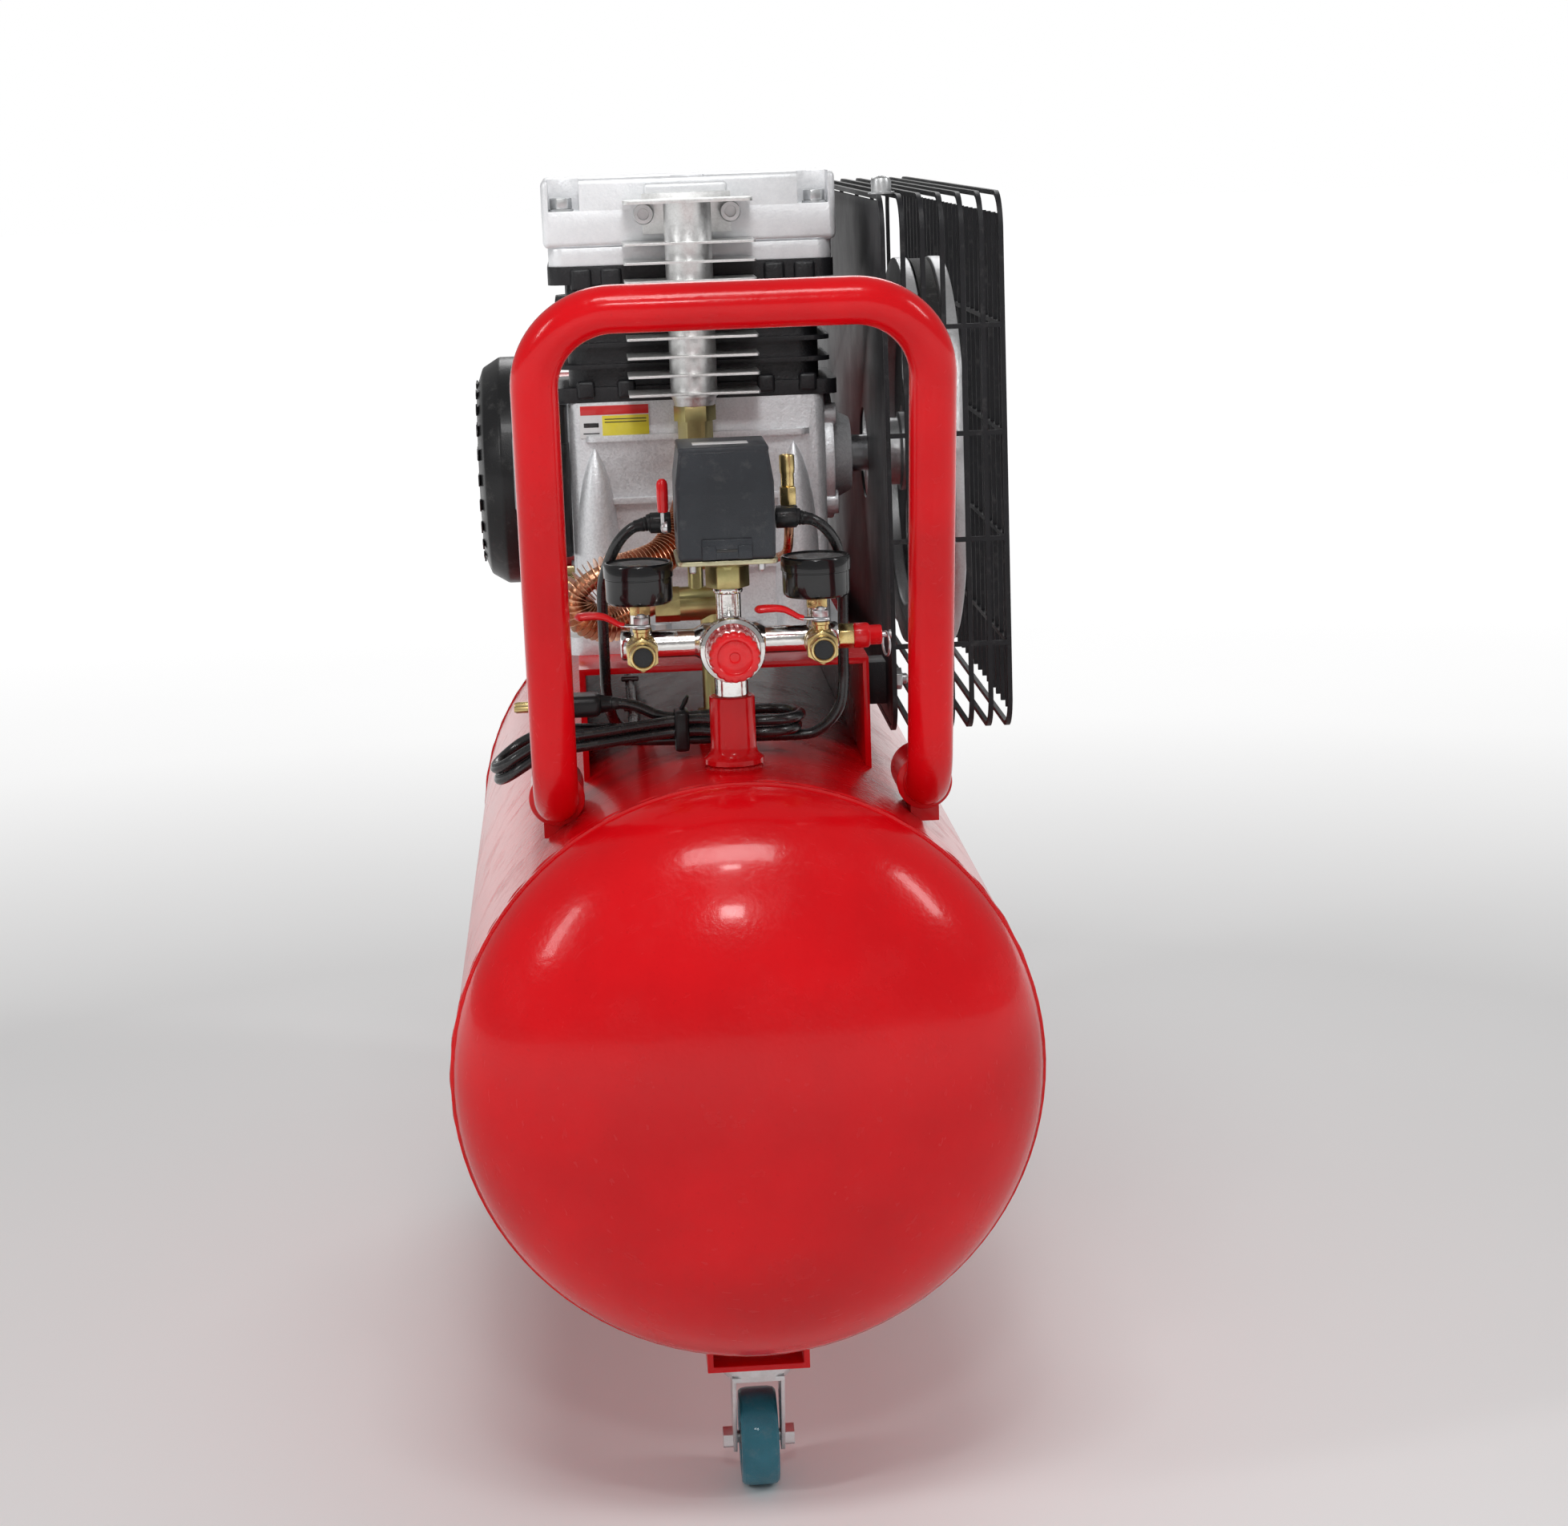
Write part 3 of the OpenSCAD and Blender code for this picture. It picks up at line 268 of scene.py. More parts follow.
def fluted(piece, height, start, flutes, depth, sharpness):
    """Cuts flutes round a turned piece on a -Y axis, where it is wider than a radius."""
    for vertex in piece.data.vertices:
        out = Vector((vertex.co.x, vertex.co.z - mm(height)))
        if out.length > mm(start):
            wave = 1 - depth * (0.5 + 0.5 * math.cos(flutes * math.atan2(out.y, out.x))) ** sharpness
            vertex.co.x, vertex.co.z = out.x * wave, mm(height) + out.y * wave
    return piece


def around(radius, degrees):
    """A point on a circle round the X axis, its radius in millimetres."""
    angle = math.radians(degrees)
    return Vector((0, math.cos(angle), math.sin(angle))) * mm(radius)


def corners(node):
    """The low and high corners of a CAD node."""
    return tuple(Vector(corner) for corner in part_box(node))


def joined(name, *pieces):
    """Several pieces made one object."""
    only(pieces[0])
    for piece in pieces:
        piece.select_set(True)
    bpy.ops.object.join()
    pieces[0].name = pieces[0].data.name = name
    return pieces[0]


def line(name, points, radius, radii=None):
    """A round curve of one spline through points in metres."""
    data = bpy.data.curves.new(name, "CURVE")
    data.dimensions, data.bevel_depth, data.bevel_resolution = "3D", radius, 5
    data.use_fill_caps = True
    spline = data.splines.new("POLY")
    spline.points.add(len(points) - 1)
    for i, point in enumerate(points):
        spline.points[i].co = (*point, 1)
        spline.points[i].radius = radii[i] if radii else 1
    spline.use_smooth = True
    piece = bpy.data.objects.new(name, data)
    bpy.context.scene.collection.objects.link(piece)
    return piece


def meshed(piece, name=None):
    """A curve made a mesh."""
    only(piece)
    bpy.ops.object.convert(target="MESH")
    piece = bpy.context.object
    piece.name = piece.data.name = name or piece.name
    return smooth(piece, 40)


def even(points, step):
    """A smooth curve through the points, with a point every step."""
    points = [Vector(p) for p in points]
    ends = [points[0] * 2 - points[1]] + points + [points[-1] * 2 - points[-2]]
    fine = []
    for a, b, c, d in zip(ends, ends[1:], ends[2:], ends[3:]):
        for j in range(24):
            t = j / 24
            fine.append(0.5 * (2 * b + (c - a) * t + (2 * a - 5 * b + 4 * c - d) * t * t
                               + (3 * b - a - 3 * c + d) * t ** 3))
    fine.append(points[-1])
    total = sum((q - p).length for p, q in zip(fine, fine[1:]))
    count = max(2, round(total / step))
    out, walked, goal, i = [fine[0]], 0.0, total / count, 0
    for p, q in zip(fine, fine[1:]):
        stretch = (q - p).length
        while stretch > 0 and walked + stretch >= goal * len(out) - 1e-9 and len(out) < count:
            out.append(p.lerp(q, (goal * len(out) - walked) / stretch))
        walked += stretch
    out.append(fine[-1])
    return out


# ---- Materials ----

class Value:
    """A shader socket that can stand in an expression."""

    def __init__(self, graph, socket):
        self.graph, self.socket = graph, socket

    def _sum(self, operation, a, b):
        return self.graph.add("ShaderNodeMath", {"operation": operation}, {0: a, 1: b})

    def __add__(self, other): return self._sum("ADD", self, other)
    def __radd__(self, other): return self._sum("ADD", other, self)
    def __sub__(self, other): return self._sum("SUBTRACT", self, other)
    def __rsub__(self, other): return self._sum("SUBTRACT", other, self)
    def __mul__(self, other): return self._sum("MULTIPLY", self, other)
    def __rmul__(self, other): return self._sum("MULTIPLY", other, self)


class Graph:
    """A material's nodes, with one method that adds any of them."""

    def __init__(self, name, colour, metallic=0.0, roughness=0.5, coat=0.0):
        self.material = bpy.data.materials.new(name)
        self.material.use_nodes = True
        self.material.diffuse_color = (*colour, 1)
        self.tree = self.material.node_tree
        self.shader = self.tree.nodes["Principled BSDF"]
        self.set("Base Color", (*colour, 1))
        self.set("Metallic", metallic)
        self.set("Roughness", roughness)
        self.set("Coat Weight", coat)

    def add(self, kind, settings=None, sockets=None, out=0):
        node = self.tree.nodes.new(kind)
        for key, value in (settings or {}).items():
            if key == "stops":
                stops = node.color_ramp.elements
                while len(stops) < len(value):
                    stops.new(0.5)
                for stop, (place, shade) in zip(stops, value):
                    stop.position, stop.color = place, (*shade, 1) if len(shade) == 3 else shade
            else:
                setattr(node, key, value)
        for key, value in (sockets or {}).items():
            if isinstance(value, Value):
                self.tree.links.new(value.socket, node.inputs[key])
            else:
                node.inputs[key].default_value = value
        return Value(self, node.outputs[out])

    def set(self, socket, value):
        if isinstance(value, Value):
            self.tree.links.new(value.socket, self.shader.inputs[socket])
        else:
            self.shader.inputs[socket].default_value = value

    def place(self, scale=(1, 1, 1), shift=(0, 0, 0), turn=(0, 0, 0)):
        """Object coordinates, moved, turned and scaled."""
        return self.add("ShaderNodeMapping", None, {"Vector": self.add("ShaderNodeTexCoord", out="Object"),
                                                    "Location": shift, "Rotation": turn, "Scale": scale})

    def noise(self, scale, detail=2.0, place=None, roughness=0.5):
        return self.add("ShaderNodeTexNoise", None, {"Vector": place or self.place(), "Scale": scale,
                                                     "Detail": detail, "Roughness": roughness}, out="Fac")

    def cells(self, scale, place=None, out="Distance"):
        return self.add("ShaderNodeTexVoronoi", None, {"Vector": place or self.place(), "Scale": scale}, out=out)

    def ramp(self, value, *stops):
        return self.add("ShaderNodeValToRGB", {"stops": [(p, (s, s, s) if isinstance(s, (int, float)) else s)
                                                         for p, s in stops]}, {"Fac": value}, out="Color")

    def mix(self, factor, a, b):
        def full(tone):
            return (*tone, 1) if not isinstance(tone, Value) and len(tone) == 3 else tone

        return self.add("ShaderNodeMix", {"data_type": "RGBA"}, {0: factor, 6: full(a), 7: full(b)}, out=2)

    def bump(self, height, distance, strength=1.0):
        self.set("Normal", self.add("ShaderNodeBump", None,
                                    {"Height": height, "Distance": distance, "Strength": strength}))


def shade(colour_value, factor):
    return tuple(min(1.0, c * factor) for c in colour_value)


FINISHES = {}


def finish(name):
    """Makes each finish once and keeps it by name."""
    if name not in FINISHES:
        maker, tone, *settings = RECIPES[name]
        if callable(tone):
            tone = tone(bpy.context.scene.compressor_colours)
        FINISHES[name] = maker(name, tone, *settings)
    return FINISHES[name]


def gloss_paint(name, tone, peel=1.0, dust=0.06, roughness=0.2):
    """Sprayed enamel: orange-peel, thin patches, settled dust and fine scuffs under a clear coat."""
    g = Graph(name, tone, 0.0, roughness, 0.22)
    g.set("Coat Roughness", 0.08)
    g.set("Specular IOR Level", 0.2)
    place = g.place()
    patches = g.noise(9, 4, place)
    shade_of = g.mix(g.ramp(patches, (0.35, 0), (0.65, 1)), shade(tone, 0.86), shade(tone, 1.06))
    specks = g.ramp(g.noise(420, 2, place), (0.66, 0), (0.74, 1))
    settled = g.ramp(g.noise(24, 6, place, 0.65), (0.52, 0), (0.78, 1))
    veil = settled * dust
    dusty = g.mix(veil, shade_of, (tone[0] * 0.55 + 0.24, tone[1] + 0.05, tone[2] + 0.05))
    g.set("Base Color", g.mix(specks * 0.16, dusty, shade(tone, 0.5)))
    scuffs = g.ramp(g.noise(60, 3, g.place((1, 9, 1.5), turn=(0.3, 0.2, 0.5))), (0.6, 0), (0.72, 1))
    g.set("Roughness", roughness + settled * 0.16 + scuffs * 0.09)
    peel_height = g.noise(300, 2, place) * 0.7 + g.noise(130, 1, place) * 0.6
    g.bump(peel_height, 0.00022 * peel, 0.75)
    return g.material


def cast_metal(name, tone, metallic=0.75, roughness=0.42, grain=1.0, sparkle=0.35, stain=(0.1, 0.09, 0.08)):
    """A coated sand casting: grain, sparkling flakes, pits and oily stains."""
    g = Graph(name, tone, metallic, roughness)
    place = g.place()
    flakes = g.cells(900, place, out="Color")
    flake = g.add("ShaderNodeSeparateColor", None, {0: flakes}, out=0)
    patches = g.noise(14, 5, place, 0.6)
    toned = g.mix(g.ramp(patches, (0.3, 0), (0.7, 1)), shade(tone, 0.8), shade(tone, 1.1))
    bright = g.mix(flake * sparkle, toned, shade(tone, 1.35))
    dirt = g.ramp(g.noise(38, 8, place, 0.7), (0.6, 0), (0.8, 1))
    g.set("Base Color", g.mix(dirt * 0.3, bright, stain))
    g.set("Roughness", roughness + flake * 0.14 - patches * 0.08 + dirt * 0.2)
    pits = g.ramp(g.cells(260, place), (0.05, 0), (0.3, 1))
    height = g.noise(620, 3, place) * 0.8 + g.noise(190, 3, place) * 0.9 + pits * 0.25
    g.bump(height, 0.00032 * grain, 0.8)
    return g.material


def bare_metal(name, tone, roughness, streak, tarnish, aged, grain=1.0, depth=1.0):
    """Machined or plated metal: fine tool marks, tarnish in patches and finger marks."""
    g = Graph(name, tone, 1.0, roughness)
    place = g.place()
    marks = g.noise(850 * grain, 2, g.place(streak))
    cloud = g.ramp(g.noise(70, 6, place, 0.65), (0.42, 0), (0.72, 1))
    spots = g.ramp(g.noise(260, 3, place), (0.64, 0), (0.74, 1))
    toned = g.mix(marks * 0.5, shade(tone, 0.84), shade(tone, 1.12))
    g.set("Base Color", g.mix(cloud * aged, g.mix(spots * 0.2, toned, shade(tone, 0.5)), tarnish))
    g.set("Roughness", roughness + cloud * 0.16 + marks * 0.08)
    g.bump(marks + g.noise(120, 2, place) * 0.5, 0.00006 * depth, 0.6)
    return g.material


def moulded(name, tone, roughness=0.42, texture=1.0, coat=0.0, dust=0.15):
    """Moulded plastic or rubber: spark-eroded texture, worn shine and a little dust."""
    g = Graph(name, tone, 0.0, roughness, coat)
    g.set("Specular IOR Level", 0.28)
    place = g.place()
    pebbles = g.cells(1100, place)
    worn = g.ramp(g.noise(30, 5, place, 0.6), (0.4, 0), (0.7, 1))
    settled = g.ramp(g.noise(90, 6, place, 0.7), (0.55, 0), (0.8, 1))
    toned = g.mix(worn, shade(tone, 0.85), shade(tone, 1.15))
    g.set("Base Color", g.mix(settled * dust, toned, (0.32, 0.31, 0.3)))
    g.set("Roughness", roughness - worn * 0.07 + settled * 0.14)
    g.bump(pebbles * 0.7 + g.noise(330, 3, place) * 0.5, 0.00016 * texture, 0.7)
    return g.material


def clear_glass(name, tone):
    """Thin glass with faint smears."""
    g = Graph(name, tone, 0.0, 0.03, 0.2)
    smear = g.ramp(g.noise(160, 4), (0.5, 0), (0.75, 1))
    g.set("Roughness", 0.03 + smear * 0.1)
    g.set("Alpha", 0.16 + smear * 0.06)
    return g.material


def dial_face(name, tone):
    """An off-white dial that has yellowed in patches."""
    g = Graph(name, tone, 0.0, 0.35)
    grime = g.ramp(g.noise(220, 4), (0.5, 0), (0.8, 1))
    g.set("Base Color", g.mix(grime * 0.2, tone, (0.62, 0.58, 0.48)))
    g.set("Roughness", 0.32 + grime * 0.2)
    g.bump(g.noise(900, 2), 0.00003, 0.4)
    return g.material


def printed(name, tone):
    """Printed film: flat ink with a slight mottle."""
    g = Graph(name, tone, 0.0, 0.3, 0.3)
    mottle = g.noise(340, 4)
    g.set("Base Color", g.mix(mottle * 0.4, shade(tone, 0.85), shade(tone, 1.05)))
    g.set("Roughness", 0.24 + mottle * 0.16)
    g.bump(g.noise(210, 2), 0.00004, 0.5)
    return g.material


def cord_jacket(name, tone):
    """A smooth jacket with faint random lumps in its surface, with dust on it."""
    g = Graph(name, tone, 0.0, 0.3, 0.25)
    place = g.place()
    dust = g.ramp(g.noise(150, 6, place, 0.7), (0.5, 0), (0.8, 1))
    g.set("Base Color", g.mix(dust * 0.16, (0.011, 0.011, 0.012), (0.2, 0.19, 0.18)))
    g.set("Roughness", 0.26 + dust * 0.22)
    g.bump(g.noise(95, 2, place) * 0.8 + g.noise(700, 2, place) * 0.25, 0.0003, 0.6)
    return g.material


RECIPES = {
    "red_paint": (gloss_paint, lambda c: c.red),
    "red_weld": (gloss_paint, lambda c: shade(c.red, 0.92), 2.4, 0.35, 0.2),
    "silver_casting": (cast_metal, lambda c: c.silver, 0.55, 0.44, 1.0, 0.4),
    "bright_head": (cast_metal, (0.86, 0.87, 0.89), 0.4, 0.36, 0.6, 0.3),
    "black_casting": (cast_metal, lambda c: c.black, 0.15, 0.4, 1.3, 0.2, (0.05, 0.045, 0.04)),
    "cooler_fins": (cast_metal, (0.75, 0.75, 0.74), 0.85, 0.36, 0.5, 0.3),
    "flywheel_casting": (cast_metal, (0.62, 0.62, 0.63), 0.8, 0.34, 0.8, 0.25),
    "zinc": (bare_metal, (0.72, 0.73, 0.74), 0.28, (1, 1, 3), (0.42, 0.42, 0.4), 0.4),
    "zinc_yellow": (bare_metal, (0.66, 0.62, 0.42), 0.3, (1, 1, 3), (0.4, 0.36, 0.2), 0.5),
    "steel": (bare_metal, (0.55, 0.56, 0.58), 0.24, (6, 1, 1), (0.25, 0.2, 0.16), 0.3),
    "chrome": (bare_metal, (0.86, 0.84, 0.82), 0.07, (1, 1, 1), (0.5, 0.45, 0.4), 0.25, 0.5, 2.5),
    "brass": (bare_metal, lambda c: c.brass, 0.2, (1, 6, 1), (0.42, 0.3, 0.12), 0.4),
    "olive_brass": (bare_metal, (0.6, 0.52, 0.24), 0.26, (1, 1, 4), (0.36, 0.34, 0.14), 0.6),
    "copper": (bare_metal, lambda c: c.copper, 0.22, (1, 1, 1), (0.32, 0.15, 0.09), 0.45),
    "black_plastic": (moulded, (0.011, 0.011, 0.012), 0.36, 0.8, 0.1),
    "gauge_case": (moulded, (0.009, 0.009, 0.01), 0.2, 0.25, 0.5, 0.06),
    "switch_plastic": (moulded, lambda c: c.switch, 0.38, 1.6, 0.1),
    "box_plastic": (moulded, (0.33, 0.34, 0.35), 0.42, 1.2),
    "guard_coat": (moulded, (0.011, 0.011, 0.013), 0.5, 1.2, 0.0),
    "rubber": (moulded, (0.02, 0.02, 0.021), 0.6, 1.8, 0.0, 0.35),
    "belt_rubber": (moulded, (0.025, 0.024, 0.024), 0.62, 1.6, 0.0, 0.3),
    "caster_tread": (moulded, lambda c: c.tread, 0.38, 2.2, 0.15, 0.2),
    "caster_hub": (moulded, (0.2, 0.24, 0.26), 0.45, 1.2, 0.0, 0.25),
    "hub_paint": (gloss_paint, (0.5, 0.5, 0.52), 1.0, 0.3, 0.25),
    "red_vinyl": (moulded, lambda c: c.red_plastic, 0.26, 0.6, 0.4, 0.05),
    "needle_black": (printed, (0.02, 0.02, 0.02)),
    "print_black": (printed, (0.015, 0.015, 0.015)),
    "print_red": (printed, (0.7, 0.02, 0.02)),
    "print_yellow": (printed, (0.85, 0.72, 0.05)),
    "print_white": (printed, (0.8, 0.8, 0.8)),
    "cord_jacket": (cord_jacket, (0.012, 0.012, 0.013)),
    "gauge_glass": (clear_glass, (1, 1, 1)),
    "dial_face": (dial_face, (0.85, 0.85, 0.83)),
}


# ---- Camera, light and floor ----

class StageOperator(bpy.types.Operator):
    """Adds the camera, the soft lights and the pale floor"""
    bl_idname = "compressor.stage"
    bl_label = "Stage"

    def execute(self, context):
        studio = context.scene.compressor_studio
        ahead = Vector((math.sin(studio.yaw) * math.cos(studio.pitch), math.cos(studio.yaw) * math.cos(studio.pitch),
                        -math.sin(studio.pitch)))
        right = Vector((math.cos(studio.yaw), -math.sin(studio.yaw), 0))
        up = right.cross(ahead)
        across = math.cos(studio.roll) * right + math.sin(studio.roll) * up
        upward = math.cos(studio.roll) * up - math.sin(studio.roll) * right
        bpy.ops.object.camera_add(location=studio.camera)
        camera = context.object
        camera.name = "Camera"
        camera.rotation_euler = Matrix((across, upward, -ahead)).transposed().to_euler()
        camera.data.lens, camera.data.sensor_width, camera.data.sensor_fit = studio.lens, 36, "HORIZONTAL"
        camera.data.clip_end = 50
        context.scene.camera = camera

        bpy.ops.mesh.primitive_plane_add(size=60, location=(0, 0, -0.0005))
        floor = context.object
        floor.name = "studio_floor"
        g = Graph("studio_floor", studio.floor, 0.0, 0.6)
        g.set("Base Color", g.mix(g.noise(3, 3), shade(studio.floor, 0.97), studio.floor))
        # The floor glows with painted light well away from the compressor, so that it melts into the white backdrop
        reach = g.add("ShaderNodeVectorMath", {"operation": "LENGTH"}, {0: g.place()}, out="Value")
        far_glow = g.ramp(reach * 0.1, (0.11, 0.0), (0.24, 0.55), (0.42, 1.0))
        g.set("Emission Strength", 0.75)
        g.set("Emission Color", far_glow)
        floor.data.materials.append(g.material)

        world = bpy.data.worlds.new("studio_air")
        context.scene.world = world
        world.use_nodes = True
        air = world.node_tree
        # The backdrop is plain white, while the room that the gloss mirrors is dimmer
        seen, path = air.nodes.new("ShaderNodeMix"), air.nodes.new("ShaderNodeLightPath")
        seen.data_type = "FLOAT"
        seen.inputs[2].default_value, seen.inputs[3].default_value = studio.room_light, 1.0
        air.links.new(path.outputs["Is Camera Ray"], seen.inputs[0])
        air.links.new(seen.outputs[0], air.nodes["Background"].inputs["Strength"])
        air.nodes["Background"].inputs["Color"].default_value = (1.0, 1.0, 1.0, 1)
        context.scene.view_settings.view_transform = "Standard"
        key = studio.key_light
        for name, place, target, size, power in (
                ("key_softbox", (-0.1, -1.9, 3.0), (0, -0.3, 0.5), (1.3, 0.5), key),
                ("front_lamp", (-0.08, -2.9, 2.0), (0, -0.4, 0.4), (0.3, 0.22), key * 0.28),
                ("upper_lamp", (-0.1, -2.6, 3.2), (0, -0.4, 0.4), (0.3, 0.16), key * 0.22),
                ("left_softbox", (-2.6, -1.6, 2.0), (0, 0, 0.5), (0.35, 0.9), key * 0.5),
                ("right_softbox", (2.6, -1.2, 2.2), (0, 0, 0.5), (0.35, 0.9), key * 0.5),
                ("back_softbox", (0.3, 2.6, 2.2), (0, 0, 0.5), (1.6, 1.0), key * 0.7)):
            bpy.ops.object.light_add(type="AREA", location=place)
            lamp = context.object
            lamp.name = name
            lamp.rotation_euler = (Vector(place) - Vector(target)).to_track_quat("Z", "Y").to_euler()
            lamp.data.shape, lamp.data.size, lamp.data.size_y, lamp.data.energy = "RECTANGLE", *size, power
        return {"FINISHED"}


# ---- Cords ----

# Route of the mains cord from the right gland down to the hank, and of the motor cable, in millimetres
MAINS_ROUTE = [(44.5, -345, 641), (54, -344, 639), (63, -339, 632), (70, -331, 620), (73, -323, 604), (74, -316, 584),
               (74, -310, 564), (74, -305, 545), (74, -302.4, 530), (72, -302.4, 516), (66, -302.4, 505.5),
               (57, -302.4, 498.2), (48, -302.4, 495.8)]
MOTOR_ROUTE = [(-46.5, -345, 641), (-56, -344, 639), (-65, -339, 631), (-72, -331, 618), (-77, -322, 602),
               (-78, -314, 584), (-78, -306, 564), (-78, -296, 545), (-78, -284, 528), (-76, -272, 512),
               (-73, -256, 501), (-68, -236, 493), (-62, -210, 487), (-60, -160, 485), (-60, -90, 485),
               (-60, -10, 485), (-61, 60, 486), (-66, 105, 492), (-76, 132, 508), (-80, 142, 530), (-80, 143, 560),
               (-80, 143, 596)]
HANK_MIDDLE_Y = -306
HANK_LAYERS = (495.8, 503.1, 510.4)
HANK_WAIST = 3.9


def hank_point(along, across, height):
    """A point of the hank in metres: flat over the tank's top, then drooping at its left end."""
    start, middle, radius = -104, 503, 60
    if along < start:
        past, lift = start - along, height - middle
        turn = min(past / radius, math.radians(34))
        straight = past - radius * turn
        along = start - (radius + lift) * math.sin(turn) - straight * math.cos(turn)
        height = middle - radius + (radius + lift) * math.cos(turn) - straight * math.sin(turn)
    return mm(along, HANK_MIDDLE_Y + across, height)


def hank_points():
    """Turns of the cord wound one over the other, pinched at the tie, then the end that rises to the plug."""
    left_folds, right_folds, half, tie_x = (-137, -134.5), (22, 24.5), 20.8, -30
    points = []

    def width(along):
        near = min(1, abs(along - tie_x) / (88 if along < tie_x else 50))
        return HANK_WAIST + (half - HANK_WAIST) * (3 * near ** 2 - 2 * near ** 3)

    for turn, layer in enumerate(HANK_LAYERS[:2]):
        first = 34 if turn == 0 else right_folds[turn - 1]
        for step in range(1, 15):
            along = first + (left_folds[turn] - first) * step / 15
            points.append(hank_point(along, width(along) if turn or along < tie_x else HANK_WAIST, layer))
        for step in range(0, 13):
            angle = math.pi * step / 12
            points.append(hank_point(left_folds[turn] - half * math.sin(angle), half * math.cos(angle), layer))
        rise = HANK_LAYERS[turn + 1] - layer
        for step in range(1, 15):
            along = left_folds[turn] + (right_folds[turn] - left_folds[turn]) * step / 15
            points.append(hank_point(along, -width(along), layer + rise * min(1, step / 11)))
        for step in range(0, 13):
            angle = math.pi * step / 12
            points.append(hank_point(right_folds[turn] + half * math.sin(angle), -half * math.cos(angle),
                                     HANK_LAYERS[turn + 1]))
    for along in (18, 11, 4, -3, -10, -17, -24, -31):
        points.append(hank_point(along, width(along), HANK_LAYERS[2]))
    for step in range(1, 9):
        part = step / 8
        lift = 2 * part ** 2 if part < 0.5 else 1 - 2 * (1 - part) ** 2
        points.append(hank_point(-34 - 38 * part, HANK_WAIST - (HANK_WAIST - 2) * part, HANK_LAYERS[2] + 11.1 * lift))
    return points + [mm(-80, -304, 521.5), mm(-88, -304, 521.5)]


def cord_boot(name, x, side):
    """The ribbed boot through which a cord leaves the switch."""
    boot = lathe(name, [(5.6, 0), (5.6, 2), (4.4, 2.8), (4.7, 3.6), (4.1, 4.6), (4.4, 5.5), (3.8, 7.5), (3.7, 10.5)],
                 mm(x, -345, GLAND_Z), Vector((side, 0.08, -0.19)), 40)
    return fit(boot, finish("black_plastic"))


class CordsOperator(bpy.types.Operator):
    """Makes the mains cord in its hank, its plug, tie and strain relief, and the motor cable"""
    bl_idname = "compressor.cords"
    bl_label = "Cords"

    def execute(self, context):
        width = context.scene.compressor_sizes.cord_width
        jacket, black = finish("cord_jacket"), finish("black_plastic")
        points = even([mm(*p) for p in MAINS_ROUTE] + hank_points(), 0.0025)
        cord = line("mains_cord_jacket", points, width / 2)
        total = sum((q - p).length for p, q in zip(points, points[1:]))

        plug = block("plug_body", mm(-118.5, -316, 514.6), mm(-81.5, -292, 528.4), 4.5, 4)
        grip = [block(f"plug_grip_{i}", mm(-113 + i * 4.5, -316.6, 516.5), mm(-111 + i * 4.5, -291.4, 526.5), 0.6)
                for i in range(3)]
        pins = [lathe(f"plug_pin_{i}", [(2.2, 0), (2.4, 1), (2.4, 17), (1.6, 18.8)],
                      mm(-118, y, 521.5), -X, 24) for i, y in enumerate((-310.5, -297.5))]
        sleeve = lathe("plug_sleeve", [(3.7, 0), (4.2, 2), (4.2, 4), (4.8, 4.5),
                                       (4.8, 6), (5.2, 7.5), (6, 11.5)], mm(-70.5, -304, 521.5), -X, 32)
        plug = joined("mains_plug_moulding", plug, sleeve, *grip)
        fit(plug, black, "root", ["mains_plug"])
        pins = fit(joined("mains_plug_pins", *pins), finish("brass"))

        tie = block("tie", mm(-35, -314.6, 490.9), mm(-27, -297.4, 515.2), 2, 3)
        with editing(tie, lambda face: abs(face.normal.x) > 0.9):
            bpy.ops.mesh.delete(type="FACE")
        modify(tie, "SOLIDIFY", thickness=0.0012, offset=1)
        twist = lathe("tie_twist", [(0.8, 0), (1.6, 1), (1.3, 4), (1.7, 7), (1, 11)],
                      mm(-31, -306, 515.6), Vector((0.4, -0.3, 0.85)), 16)
        tie = fit(joined("hank_tie", tie, twist), black)

        boot = cord_boot("cord_boot", 43.6, 1)
        fit(cord, jacket, "root", ["mains_cord", "mains_cord_hank"])
        tuple(mm(*MAINS_ROUTE[0]))

        cable = meshed(line("motor_cable_jacket", even([mm(*p) for p in MOTOR_ROUTE], 0.004), width / 2))
        fit(cable, jacket, "root", ["motor_cable"])
        clips = [block(f"clip_{i}", mm(-66, y - 4, 486.5), mm(-53.5, y + 4, 489.6), 0.8) for i, y in
                 enumerate((-140, -20))]
        fit(joined("cable_clips", *clips), finish("zinc"))
        cord_boot("motor_cable_boot", -45.6, -1)
        from_node("cable_gland", black, 0.7)
        return {"FINISHED"}


# ---- Tank, handle and platform ----

def weld_bead(name, radius, thickness, ripples, at, axis=Z, drape=None):
    """A rippled bead of weld round a circle, laid onto a surface if a height function is given."""
    piece = add("torus", major_segments=ripples * 3, minor_segments=8, major_radius=radius, minor_radius=thickness)
    for vertex in piece.data.vertices:
        angle = math.atan2(vertex.co.y, vertex.co.x)
        ring = Vector((math.cos(angle), math.sin(angle), 0)) * radius
        swell = 1 + 0.16 * math.sin(angle * ripples) + 0.1 * math.sin(angle * 7.3) + 0.07 * math.sin(angle * 3.1 + 1)
        vertex.co = ring + (vertex.co - ring) * swell
    put(piece, name, at, axis)
    if drape:
        for vertex in piece.data.vertices:
            vertex.co.z += drape(vertex.co) - at[2]
    return smooth(piece, 60)


